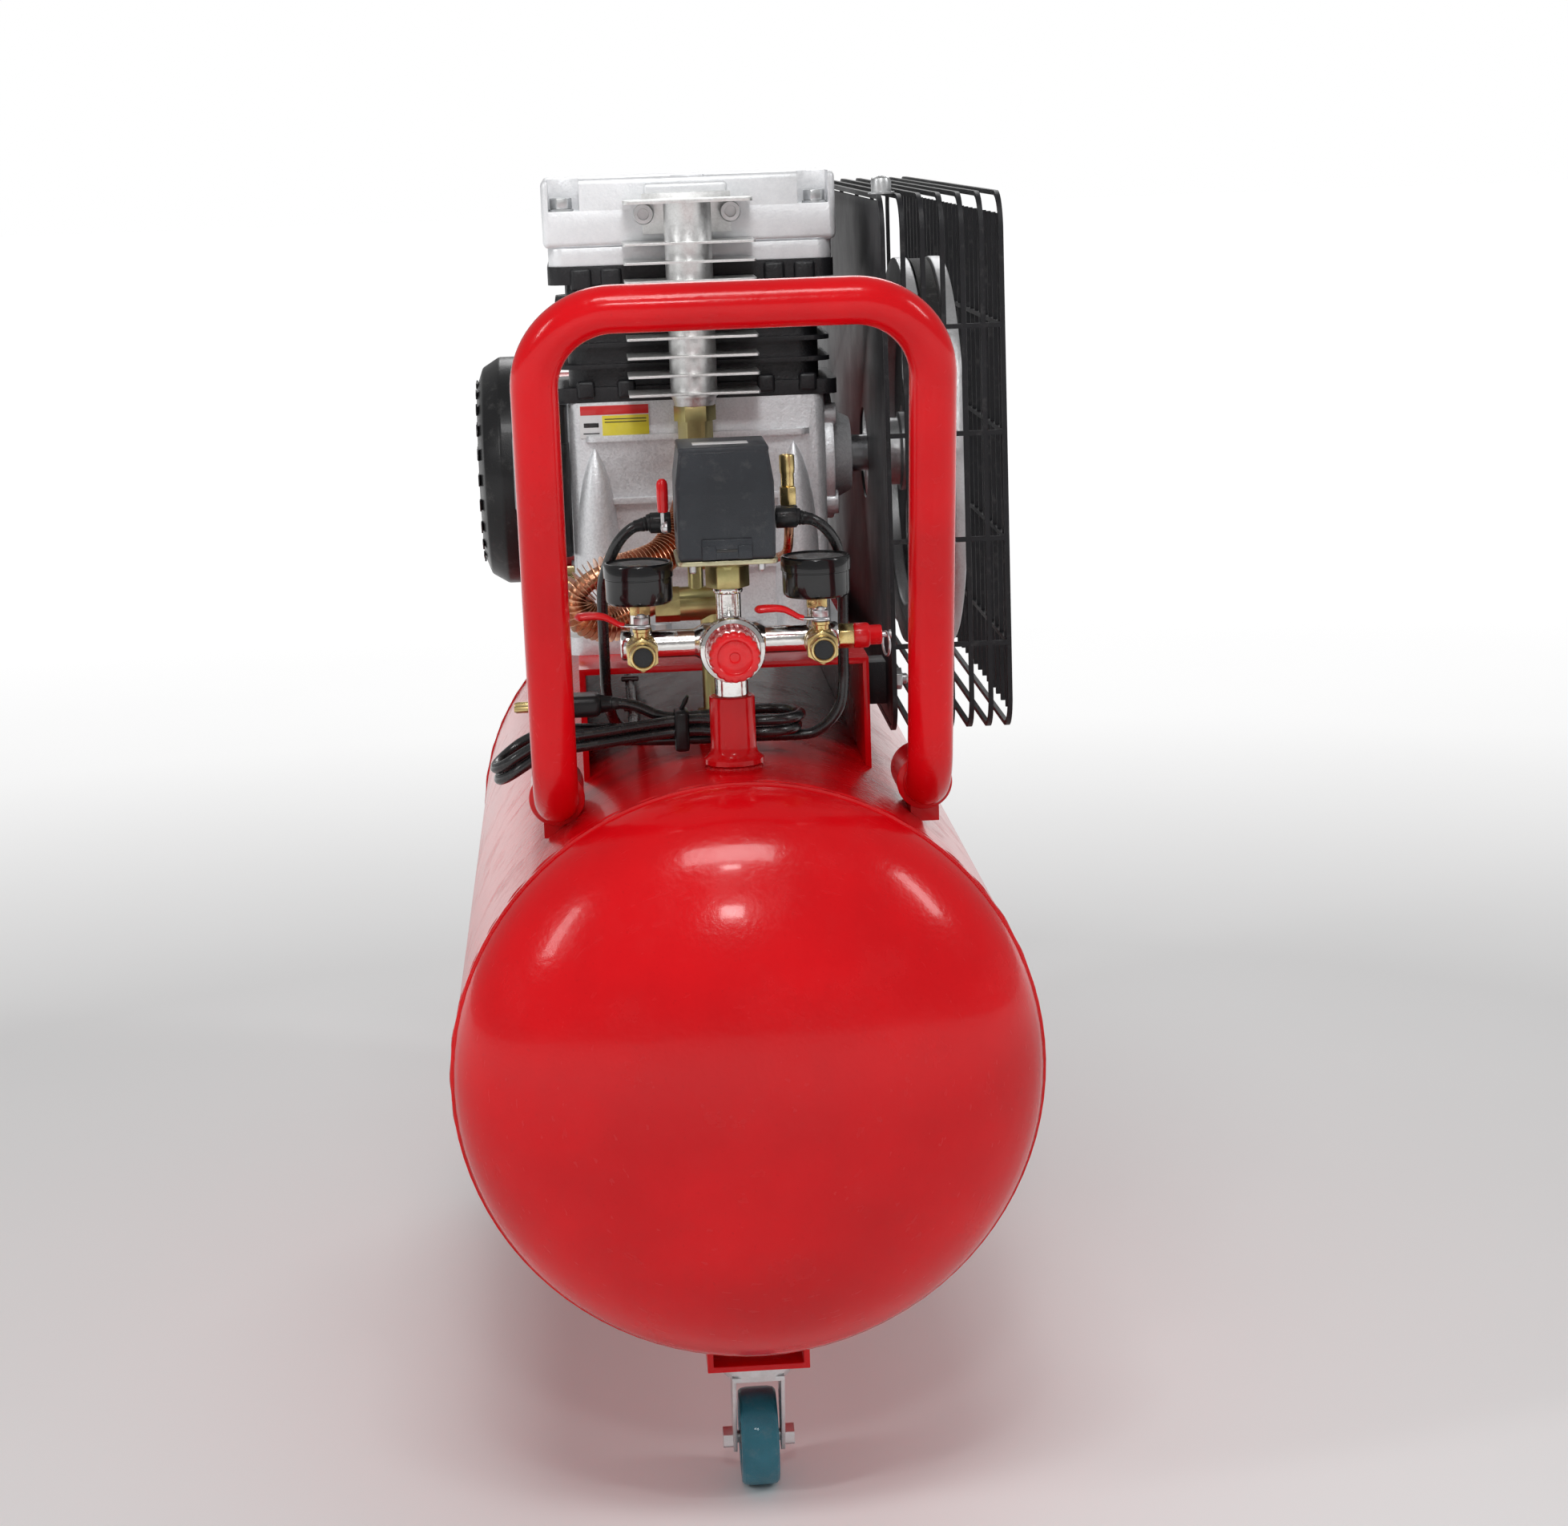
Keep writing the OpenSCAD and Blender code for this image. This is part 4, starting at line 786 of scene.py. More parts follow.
class TankOperator(bpy.types.Operator):
    """Finishes the tank, its girth welds, the riser, the handle's sockets and their weld beads"""
    bl_idname = "compressor.tank"
    bl_label = "Tank"

    def execute(self, context):
        sizes = context.scene.compressor_sizes
        red, weld = finish("red_paint"), finish("red_weld")
        from_node("tank_shell", red, flat=0)
        from_node("tank_heads", red, flat=0, smooth_angle=40)
        from_node("tank_weldments", red, flat=0, smooth_angle=50)
        lip = lathe("riser_lip", [(10.8, 0.4), (12.8, 1), (14.1, 0.4), (14.25, -1.2),
                                  (14.28, -6), (14.28, -31), (14.9, -34.5), (16.6, -37),
                                  (18.6, -38.5), (18.8, -41.5)], mm(0, COLUMN_Y, 531), Z, 96)
        fit(lip, red)
        middle = Vector((0, 0, sizes.tank_height))
        radius = sizes.tank_radius

        def on_tank(point):
            return sizes.tank_height + math.sqrt(max(0, radius ** 2 - point.x ** 2)) - 0.0002

        beads = []
        for y in (-403.5, 403.5):
            beads.append(weld_bead(f"girth_{y}", radius - 0.0009, sizes.bead_radius, sizes.bead_ripples,
                                   middle + Y * mm(y), Y))
        beads.append(weld_bead("riser_foot", 0.0152, 0.0026, 26, mm(0, COLUMN_Y, 487), Z, on_tank))
        for x in SOCKETS_X:
            beads.append(weld_bead(f"socket_{x}", 0.0148, 0.0015, 22, mm(x, -343.5, SOCKET_Z), Y))
        fit(joined("weld_beads", *beads), weld)
        return {"FINISHED"}


class HandleOperator(bpy.types.Operator):
    """Finishes the bent tube handle and the flared rings it stands in"""
    bl_idname = "compressor.handle"
    bl_label = "Handle"

    def execute(self, context):
        red = finish("red_paint")
        from_node("handle", red, flat=0, smooth_angle=50)
        rings = [lathe(f"flare_{x}", [(14.3, 0), (17.2, 0.4), (17.6, 1.4), (17, 4), (16.6, 9)],
                       mm(x, -346.2, SOCKET_Z), Y) for x in SOCKETS_X]
        fit(joined("socket_flares", *rings), red)
        return {"FINISHED"}


class PlatformOperator(bpy.types.Operator):
    """Finishes the platform, the wheel brackets and the mounting bolts"""
    bl_idname = "compressor.platform"
    bl_label = "Platform"

    def execute(self, context):
        red = finish("red_paint")
        from_node("platform", red, 1.2, 3)
        from_node("wheel_brackets", red, 1)
        from_node("mounting_bolts", finish("zinc"), 0.6)
        return {"FINISHED"}


# ---- Wheels ----

def wheel_measures(node):
    """A wheel's centre, then its radius and width in millimetres."""
    low, high = corners(node)
    return (low + high) / 2, (high.z - low.z) * 500, (high.x - low.x) * 1000


def mirrored(outline, width):
    """An outline up to its middle point, and the same back again on the other side."""
    return outline + [(radius, width - height) for radius, height in reversed(outline[:-1])]


class WheelsOperator(bpy.types.Operator):
    """Finishes the front caster, its fork and the rear wheels on their axle"""
    bl_idname = "compressor.wheels"
    bl_label = "Wheels"

    def execute(self, context):
        zinc = finish("zinc")
        from_node("caster_fork", zinc, 0.8, 3)
        from_node("rear_axle", zinc, 0.8)
        centre, r, w = wheel_measures("caster_wheel")
        half = [(6.2, 1), (8.5, 1), (9, 2.2), (15.5, 3.4), (21.5, 3.4), (23.5, 1.2), (26.2, 0.6), (r - 2.4, 0.8),
                (r - 0.8, 2.4), (r - 0.1, 6), (r, w / 2)]
        wheel = lathe("caster_roller_tread", mirrored(half, w), centre - X * mm(w / 2), X, 96)
        fit(wheel, [finish("caster_tread"), finish("caster_hub")], "caster_roller", ["caster_wheel"])
        for face in wheel.data.polygons:
            offset = face.center - centre
            face.material_index = int(math.hypot(offset.y, offset.z) < 0.0222)

        for side, node, body in ((-1, "rear_wheel_left", "left_wheel"), (1, "rear_wheel_right", "right_wheel")):
            centre, r, w = wheel_measures(node)
            rim = 46
            half = [(rim, 4), (rim + 4, 2.5), (rim + 7, 3), (rim + 9, 1.5), (r - 8, 1.5), (r - 3, 4), (r - 0.6, 9),
                    (r, w / 2)]
            tyre = lathe(f"tyre_{side}", mirrored(half, w), centre - X * mm(w / 2), X, 120)

            def groove(face):
                offset = face.center - centre
                turn = int((math.atan2(offset.z, offset.y) + math.pi) / (2 * math.pi) * 120 + 0.5)
                reach = math.hypot(offset.y, offset.z)
                return reach > mm(r - 6.2) and abs(offset.x) > 0.0025 and turn % 4 == 0

            with editing(tyre, groove):
                bpy.ops.mesh.inset(thickness=0.0002, use_even_offset=True)
                bpy.ops.transform.resize(value=(1, 0.972, 0.972), center_override=tuple(centre))
            smooth(tyre, 28)
            fit(tyre, finish("rubber"), body, [node]).name = node + "_tyre"
            shape = [(8.4, -3), (12.5, -3), (13.5, 0.5), (14.5, 8), (30, 8.5), (36, 5.5), (42, 3.5), (rim + 0.5, 3.5),
                     (rim + 0.5, w - 3.5), (42, w - 3.5), (36, w - 5.5), (30, w - 8.5), (14.5, w - 8),
                     (13.5, w - 0.5), (12.5, w + 0.8), (8.4, w + 0.8)]
            shape = [(a, min(max(b, 0), w)) for a, b in shape]
            disc = lathe(f"wheel_disc_{side}", shape, centre - X * mm(w / 2), X, 72)
            fit(disc, finish("hub_paint"), body)
            face_middle = centre + X * side * mm(w / 2 - 8.6)
            nuts = [hexagon(f"rim_nut_{side}_{a}", face_middle + around(23.5, a), X * side, 8, 4)
                    for a in range(45, 405, 90)]
            fit(joined(f"rim_nuts_{side}", *nuts), zinc, body)
        return {"FINISHED"}


# ---- Pump ----

def film(name, x0, z0, x1, z1, proud, sunk=0.0, width=0.1, segments=2):
    """A thin rectangle that stands proud of the crankcase's front, in millimetres."""
    return block(name, mm(x0, PUMP_FRONT_Y - proud, z0), mm(x1, PUMP_FRONT_Y + sunk, z1), width, segments)


class PumpOperator(bpy.types.Operator):
    """Finishes the crankcase, cylinders, head, bolts, bearing covers, breather and the plain label"""
    bl_idname = "compressor.pump"
    bl_label = "Pump"

    def execute(self, context):
        silver = finish("silver_casting")
        from_node("crankcase", silver, 1.8, 3, flat=2)
        from_node("bearing_housing", silver, 1.4, 3)
        from_node("cylinder_block", finish("black_casting"), 1.2, 3)
        from_node("valve_plate", finish("bright_head"), 0.6)
        # The head is one casting with square pockets that hold its bolts, the corner ones open to front and back
        head = block("head_casting", mm(-106, -176, 804), mm(88, -64, 849), 4.2, 4)
        bolts = []
        for x, left, right, reach in ((-93, -101.5, -81, 20), (-9, -20, 2, 11), (75, 63, 83.5, 20)):
            for side in (-1, 1):
                y = PUMP_Y + 43 * side
                cut = block("pocket", mm(left, min(y + side * reach, y - 11), SEAT_Z),
                            mm(right, max(y + side * reach, y + 11), 870))
                modify(head, "BOOLEAN", operation="DIFFERENCE", object=cut)
                bpy.data.objects.remove(cut)
                bolts.append(lathe(f"head_washer_{x}_{side}", [(6, 0), (8.2, 0.1), (8.2, 1.4), (5, 1.5)],
                                   mm(x, y, SEAT_Z), Z, 40))
                bolts.append(hexagon(f"head_bolt_{x}_{side}", mm(x, y, 829.4), Z, 13, 7.2, 0.7, 0.4 * side))
        fit(smooth(edges_round(head, 1.1, 3, 40), 40), finish("bright_head"), "root", ["cylinder_head"])
        fit(joined("head_bolt_set", *bolts), finish("zinc"), "root", ["head_bolts"])
        from_node("oil_breather", finish("black_plastic"), 1.2)
        from_node("crankshaft", finish("steel"), 0.6)
        for name, tone, slot, *sizes in (
                ("label_plate", "print_white", "grey_plastic", -87.2, 678.5, -40.5, 700.5, 0.6, 0.6, 0.2),
                ("label_band", "print_red", "red_plastic", -86.6, 693.8, -41.1, 699.9, 0.8),
                ("label_field", "print_yellow", "brass", -72.2, 679.1, -41.1, 693.2, 0.8)):
            fit(film(name, *sizes), finish(tone))
        # A plain blank figure: a rounded bar over a line, with no lettering
        bars = [film("label_bar", -84.6, 685.6, -74.6, 688.6, 1, width=0.4, segments=3),
                film("label_rule", -85, 681.2, -74.2, 681.9, 1)]
        bars += [film(f"label_dash_{z}", -70.5, z, -42.8, z + 0.6, 1) for z in (690.5, 688.5)]
        fit(joined("label_marks", *bars), finish("print_black"))
        # Left side cover: screws round its rim, a drain plug and an oil sight glass
        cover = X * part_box("bearing_housing")[0][0]
        screws = []
        for a in range(0, 360, 60):
            at = cover + mm(0.4, PUMP_Y, 656) + around(35.5, a)
            screws.append(hexagon(f"cover_screw_{a}", at, -X, 9, 4.6, turn=a))
            screws.append(lathe(f"cover_washer_{a}", [(4.5, 0), (6.6, 0.1), (6.6, 0.9), (3, 1)], at, -X, 28))
        screws.append(hexagon("drain_plug", mm(-95, -85, 566), -X, 15, 8))
        fit(joined("pump_screws", *screws), finish("zinc"))
        oil_eye = mm(-95, -140, 575)
        sight = lathe("sight_ring", [(12.5, 0), (13.5, 1), (13.5, 6), (12, 7.5), (8.8, 7.8), (8.6, 4), (1, 3.6)],
                      oil_eye, -X, 48)
        fit(sight, finish("brass"))
        lens = lathe("sight_glass", [(8.4, 4.2), (8.4, 5.8), (5, 6.9), (1, 7.2)], oil_eye, -X, 48)
        fit(lens, finish("gauge_glass"))
        # Raised pad of the head over the cooler's flange, and the cylinder block's bosses and lugs
        pad = block("head_pad", mm(-38.5, -182.2, 836.5), mm(16.5, -175.5, 844.5), 2.5, 4)
        fit(pad, finish("bright_head"))
        webs = [block(f"block_web_{x}_{low}", mm(x - half, -178.5, low), mm(x + half, -170.5, high), 2.2, 3)
                for half, low, high, row in ((7, 776, 790.5, (-82, -62, 46, 66)),
                                             (6, 704.5, 716.5, (-82, -55, -9, 38, 66))) for x in row]
        fit(joined("block_bosses", *webs), finish("black_casting"))
        return {"FINISHED"}


class CoolerOperator(bpy.types.Operator):
    """Finishes the aftercooler with its fins and its two socket screws"""
    bl_idname = "compressor.cooler"
    bl_label = "Aftercooler"

    def execute(self, context):
        from_node("aftercooler", finish("cooler_fins"), 0.4)
        screws = [lathe(f"socket_screw_{x}", [(4.6, 0), (6.6, 0.4), (6.8, 1), (6.8, 5.2), (6.2, 6), (3.8, 6.1),
                                              (3.6, 3)], mm(x, -189.8, 825), -Y, 32) for x in (-39.5, 17.5)]
        fit(joined("cooler_screws", *screws), finish("zinc"))
        return {"FINISHED"}


# ---- Delivery pipes ----

FINNED_ROUTE = [(-11, -200, 676), (-13, -206, 656), (-20, -226, 630), (-36, -256, 610), (-58, -272, 603),
                (-80, -280, 600), (-94, -281, 588), (-90, -279, 574), (-74, -273, 568), (-58, -267, 573),
                (-44, -266, 578)]
UNLOADER_ROUTE = [(-8, -266, 605), (8, -268, 605), (22, -274, 606), (34, -286, 608), (40, -304, 614),
                  (41, -318, 626), (41, -322, 640)]


class PipesOperator(bpy.types.Operator):
    """Makes the copper pipe with its spiral fin and the thin unloader pipe, and finishes the check valve"""
    bl_idname = "compressor.pipes"
    bl_label = "Pipes"

    def execute(self, context):
        copper = finish("copper")
        route = even([mm(*p) for p in FINNED_ROUTE], 0.002)
        total = sum((q - p).length for p, q in zip(route, route[1:]))
        core = meshed(line("pipe_core", route, 0.006), "pipe_core")
        # One turn of the fin is spun from an edge, repeated along X and bent along the route
        pitch, sides, margin = context.scene.compressor_sizes.fin_pitch, 20, 0.016
        turns = int((total - 2 * margin) / pitch)
        fin = settle(add("plane", size=0.006), "pipe_fin")
        with editing(fin):
            bpy.ops.mesh.select_all(action="DESELECT")
        for i, vertex in enumerate(fin.data.vertices):
            vertex.select = i in (2, 3)
        fin.data.vertices[0].co = (0, 0, 0.0058)
        fin.data.vertices[1].co = (0, 0, 0.0118)
        bpy.ops.object.mode_set(mode="EDIT")
        bpy.ops.mesh.select_mode(type="VERT")
        bpy.ops.mesh.delete(type="VERT")
        bpy.ops.mesh.select_all(action="SELECT")
        bpy.ops.mesh.spin(steps=sides, angle=2 * math.pi, center=(0, 0, 0), axis=(1, 0, 0),
                          dupli=False, use_auto_merge=False)
        bpy.ops.object.mode_set(mode="OBJECT")
        # The spun ring is opened into a helix by its own order round the axis
        for i, vertex in enumerate(fin.data.vertices):
            vertex.co.x += pitch * (i // 2) / sides
        modify(fin, "ARRAY", use_relative_offset=False, use_constant_offset=True, count=turns,
               constant_offset_displace=(pitch, 0, 0), use_merge_vertices=True, merge_threshold=0.0002)
        bend = line("pipe_bend", route, 0.0)
        for vertex in fin.data.vertices:
            vertex.co.x += margin
        modify(fin, "CURVE", object=bend, deform_axis="POS_X")
        modify(fin, "SOLIDIFY", thickness=0.0005, offset=0)
        bpy.data.objects.remove(bend)
        smooth(fin, 50)
        pipe = joined("finned_copper_pipe", core, fin)
        fit(pipe, copper, "root", ["finned_pipe"])
        thin = meshed(line("unloader_pipe", even([mm(*p) for p in UNLOADER_ROUTE], 0.003), 0.003), "unloader_pipe")
        fit(thin, copper, "root", ["unloader_tube"])
        from_node("check_valve", finish("olive_brass"), 0.7)
        base = mm(41, -322, 640)
        unloader = joined("unloader_stack", hexagon("unloader_hex", base + Z * 0.006, Z, 9.8, 11.5, 0.6),
                          lathe("unloader_top", [(3.4, 0), (4.2, 1), (4.2, 8.5), (4.6, 9.2),
                                                 (4.8, 11.5), (4.8, 19.5), (4.4, 20.3),
                                                 (3.6, 20.4), (3.3, 19.6)], base + Z * 0.0172, Z, 48),
                          hexagon("unloader_low", base + Z * 0.0002, Z, 8.5, 4.5, 0.5))
        fit(unloader, finish("brass"), "root", ["unloader_valve"])
        tab = block("unloader_tab", base + mm(-8, -4.5, 4.6), base + mm(5.5, 4.5, 5.5), 0.3)
        fit(tab, finish("black_plastic"))
        return {"FINISHED"}


# ---- Belt drive, motor and guard ----

class DriveOperator(bpy.types.Operator):
    """Finishes the flywheel, V-belt and motor pulley"""
    bl_idname = "compressor.drive"
    bl_label = "Belt drive"

    def execute(self, context):
        from_node("flywheel", finish("flywheel_casting"), 1, 3)
        from_node("motor_pulley", finish("flywheel_casting"), 0.8)
        from_node("v_belt", finish("belt_rubber"), 0.5, flat=0)
        return {"FINISHED"}


class MotorOperator(bpy.types.Operator):
    """Finishes the motor, its fan and cowl, and the capacitor box with its blank plate"""
    bl_idname = "compressor.motor"
    bl_label = "Motor"

    def execute(self, context):
        from_node("motor_housing", finish("red_paint"), 1.2, 3)
        from_node("motor_end_shields", finish("silver_casting"), 1.4, 3)
        from_node("motor_rotor", finish("steel"), 0.5)
        from_node("cooling_fan", finish("black_plastic"), 0.5)
        from_node("fan_cowl", finish("black_plastic"), 1.6, 3)
        from_node("capacitor_box", finish("box_plastic"), 2.2, 3)
        low, high = corners("capacitor_box")
        high.y = low.y
        plate = block("box_plate", low + mm(18, -0.6, 12), high + mm(-18, 0.6, -14), 0.4, 3)
        fit(plate, finish("print_white"))
        # Black blocks on the cowl's back stand for its grille slots: painted shade where the openings are
        slot_shades = []
        hub = mm(-0.1, 250, 615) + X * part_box("fan_cowl")[0][0]
        for ring, radius in enumerate((40, 50, 60, 70)):
            count = 10 + ring * 4
            for i in range(count):
                slot = block(f"slot_{ring}_{i}", mm(-0.6, -2.2, -4.5), mm(0.6, 2.2, 4.5), 0.4)
                slot.matrix_world = (Matrix.Translation(hub) @ Matrix.Rotation(2 * math.pi * i / count, 4, "X")
                                     @ Matrix.Translation(mm(0, radius, 0)))
                slot_shades.append(settle(slot))
        fit(joined("cowl_slot_shades", *slot_shades), finish("needle_black"))
        return {"FINISHED"}


class GuardOperator(bpy.types.Operator):
    """Finishes the wire belt guard and its back plate"""
    bl_idname = "compressor.guard"
    bl_label = "Belt guard"

    def execute(self, context):
        from_node("guard_cage", finish("guard_coat"), 0, flat=0, smooth_angle=50)
        from_node("guard_back_plate", finish("guard_coat"), 0.6)
        bolts = [lathe("guard_acorn", [(8.5, 0), (8.5, 1.2), (6.4, 1.4), (6.6, 7.5),
                                       (5.8, 9.8), (3.6, 11.2), (0.8, 11.7)], mm(112, -246, 834), Z, 40)]
        for y in (-228, 120):
            bolts.append(lathe(f"guard_washer_{y}", [(8, 0), (10.5, 0.1), (10.5, 1.4), (4, 1.5)],
                               mm(109.5, y, 516), X, 36))
            bolts.append(hexagon(f"guard_nut_{y}", mm(111, y, 516), X, 13, 7.5))
            bolts.append(lathe(f"guard_stud_{y}", [(3.5, 0), (3.5, 3), (2.6, 4)], mm(118.5, y, 516), X, 24))
        fit(joined("guard_bolts", *bolts), finish("zinc"))
        return {"FINISHED"}


# ---- Manifold, regulator, gauges and valves ----

class ManifoldOperator(bpy.types.Operator):
    """Finishes the chrome manifold, the regulator and its knob"""
    bl_idname = "compressor.manifold"
    bl_label = "Manifold"

    def execute(self, context):
        chrome = finish("chrome")
        cross = lathe("cross_tube", [
            (6.6, 0), (8.6, 0.6), (9.4, 2), (9.4, 5.5), (8.6, 6.5), (8.6, 12), (9.4, 12.8), (9.4, 17.2), (8.6, 18),
            (8.6, 46), (9.8, 48), (12, 52), (12.5, 68), (12, 84), (9.8, 88), (8.6, 90), (8.6, 118), (9.4, 118.8),
            (9.4, 123.2), (8.6, 124), (8.6, 129.5), (9.4, 130.5), (9.4, 134), (8.6, 135.4), (6.6, 136)],
            mm(-68, COLUMN_Y, MANIFOLD_Z), X, 72)
        lower = lathe("lower_nipple", [(9.6, 0), (10.4, 0.5), (10.4, 17.5), (11.3, 18.5),
                                       (11.3, 21.5), (10.6, 22.5), (10.6, 34)], mm(0, COLUMN_Y, 529.5), Z, 72)
        upper = lathe("upper_tube", [(9.6, 0), (8.8, 4), (7.8, 8), (7.8, 26), (9, 26.8),
                                     (9.4, 28.2), (9, 29.8), (7.4, 30.4)], mm(0, COLUMN_Y, 570), Z, 64)
        stems = [lathe(f"gauge_stem_{x}", [(7.8, 0), (6.8, 2), (6.2, 4.5), (6.2, 11.5)],
                       mm(x, COLUMN_Y, 573.5), Z, 48) for x in (-OUTLET_X, OUTLET_X)]
        fit(joined("chrome_cross", cross, lower, upper, *stems), chrome, "root", ["manifold"])
        nut = hexagon("switch_nut", mm(0, COLUMN_Y, 600), Z, 24, 13.9, 0.9, math.radians(30))
        collar = lathe("switch_collar", [(11.2, 0), (12.2, 0.6), (12.2, 2.8), (11.2, 3.4)],
                       mm(0, COLUMN_Y, 611.4), Z, 48)
        fit(joined("switch_nut", nut, collar), finish("olive_brass"))
        body = lathe("regulator_bell", [(10.5, 0), (14.5, 1.5), (17.8, 6), (19.6, 11.5),
                                        (20.3, 13), (20.3, 21.5), (19.6, 23.5), (17.2, 24.6),
                                        (16.8, 23.6), (6, 23.4)], mm(0, -366.2, MANIFOLD_Z), -Y, 120)
        fluted(body, MANIFOLD_Z, 19.9, 40, 0.022, 2)
        neck = lathe("regulator_neck", [(11.8, 0), (12.8, 3), (12.8, 17)], mm(0, COLUMN_Y, MANIFOLD_Z), -Y, 64)
        fit(joined("regulator_bell", body, neck), chrome, "root", ["regulator_body"])
        knob = lathe("regulator_knob_cap", [
            (12.8, 0), (14.5, 0.6), (15.1, 2), (15.7, 19), (15.7, 21.5), (15.3, 23.5), (14.4, 24.9), (13, 25.4),
            (11.2, 25.2), (10.4, 24.6), (10.1, 24), (9.5, 23.7), (5.2, 23.6), (4.2, 23.8), (3.4, 23.6), (2.8, 22.9),
            (0.6, 22.7)], mm(0, -391.4, MANIFOLD_Z), -Y, 144)
        fluted(knob, MANIFOLD_Z, 14.2, 18, 0.05, 3)
        fit(smooth(knob, 40), finish("red_vinyl"), "pressure_knob", ["regulator_knob"])
        from_node("drain_valve", finish("brass"), 0.5)
        from_node("drain_knob", finish("brass"), 0.5)
        return {"FINISHED"}


class GaugesOperator(bpy.types.Operator):
    """Makes the two pressure gauges: case, printed dial, pointer and glass"""
    bl_idname = "compressor.gauges"
    bl_label = "Gauges"

    def execute(self, context):
        cases, stubs = [], []
        for side in (-1, 1):
            cases.append(lathe(f"gauge_case_{side}", [
                (6, 0.4), (17.2, 0), (19.2, 0.5), (20.5, 1.8), (21, 4), (21, 15.8), (20.8, 16), (20.8, 16.6),
                (21.7, 16.9), (21.7, 24.2), (21.3, 25.2), (20.6, 25.8), (19.8, 25.9), (19.1, 25.4), (19, 23.5),
                (19, 18.2), (1.2, 17.9)], mm(side * OUTLET_X, COLUMN_Y, 592), Z, 120))
            stubs.append(hexagon(f"gauge_hex_{side}", mm(side * OUTLET_X, COLUMN_Y, 585), Z, 12.5, 7.2, 0.5))
        fit(joined("gauge_shells", *cases), finish("gauge_case"), "root", ["gauge_cases"])
        fit(joined("gauge_hexes", *stubs), finish("brass"))
        for node in ("gauge_needle_left", "gauge_needle_right"):
            from_node(node, finish("needle_black"))
        marks, faces, glasses = [], [], []
        for side in (-1, 1):
            centre = mm(side * OUTLET_X, COLUMN_Y, 610)
            faces.append(lathe(f"dial_{side}", [(18.6, -0.1), (18.8, 0.05), (1.2, 0.1)], centre, Z, 64))
            glasses.append(lathe(f"glass_{side}", [(18.9, 4.4), (18.9, 5.6), (18.6, 6.6),
                                                   (16.5, 7.2), (8, 7.7), (1, 7.8)], centre, Z, 64))
            for i in range(33):
                long = i % 4 == 0
                mark = settle(add("cube", size=1, location=mm(0, 15.1 if long else 15.8, 0.2),
                                  scale=mm(0.6, 3.4, 0.1) if long else mm(0.3, 2, 0.1)))
                turn = Matrix.Rotation(math.radians(135 - i * 8.4375), 4, "Z")
                mark.matrix_world = Matrix.Translation(centre) @ turn
                marks.append(settle(mark, f"mark_{side}_{i}"))
            for i in range(0, 9, 2):
                angle = math.radians(135 - i * 33.75 + 90)
                bpy.ops.object.select_all(action="DESELECT")
                bpy.ops.object.text_add(location=centre + Vector((math.cos(angle), math.sin(angle), 0)) * 0.0112
                                        + Z * 0.00012)
                text = context.object
                text.data.body, text.data.size, text.data.extrude = str(i), 0.0052, 0.00004
                text.data.align_x, text.data.align_y = "CENTER", "CENTER"
                bpy.ops.object.convert(target="MESH")
                marks.append(settle(context.object, f"number_{side}_{i}"))
        fit(joined("gauge_dials", *faces), finish("dial_face"))
        fit(joined("gauge_marks", *marks), finish("print_black"))
        fit(joined("gauge_glasses", *glasses), finish("gauge_glass"))
        return {"FINISHED"}


# A valve lever's strip and its sleeve as (x, z) from the valve's stem, in millimetres
LEVER_STRIP = [(5, 1.4), (0, 1.4), (-8, 1.5), (-13, 2.4), (-18, 5.4), (-22, 7.4)]
LEVER_SLEEVE = [(-10.5, 1.9), (-14, 3), (-18, 5.4), (-22, 7.5), (-27, 8.5), (-33, 8.6), (-38, 8.3), (-40.5, 8.1)]


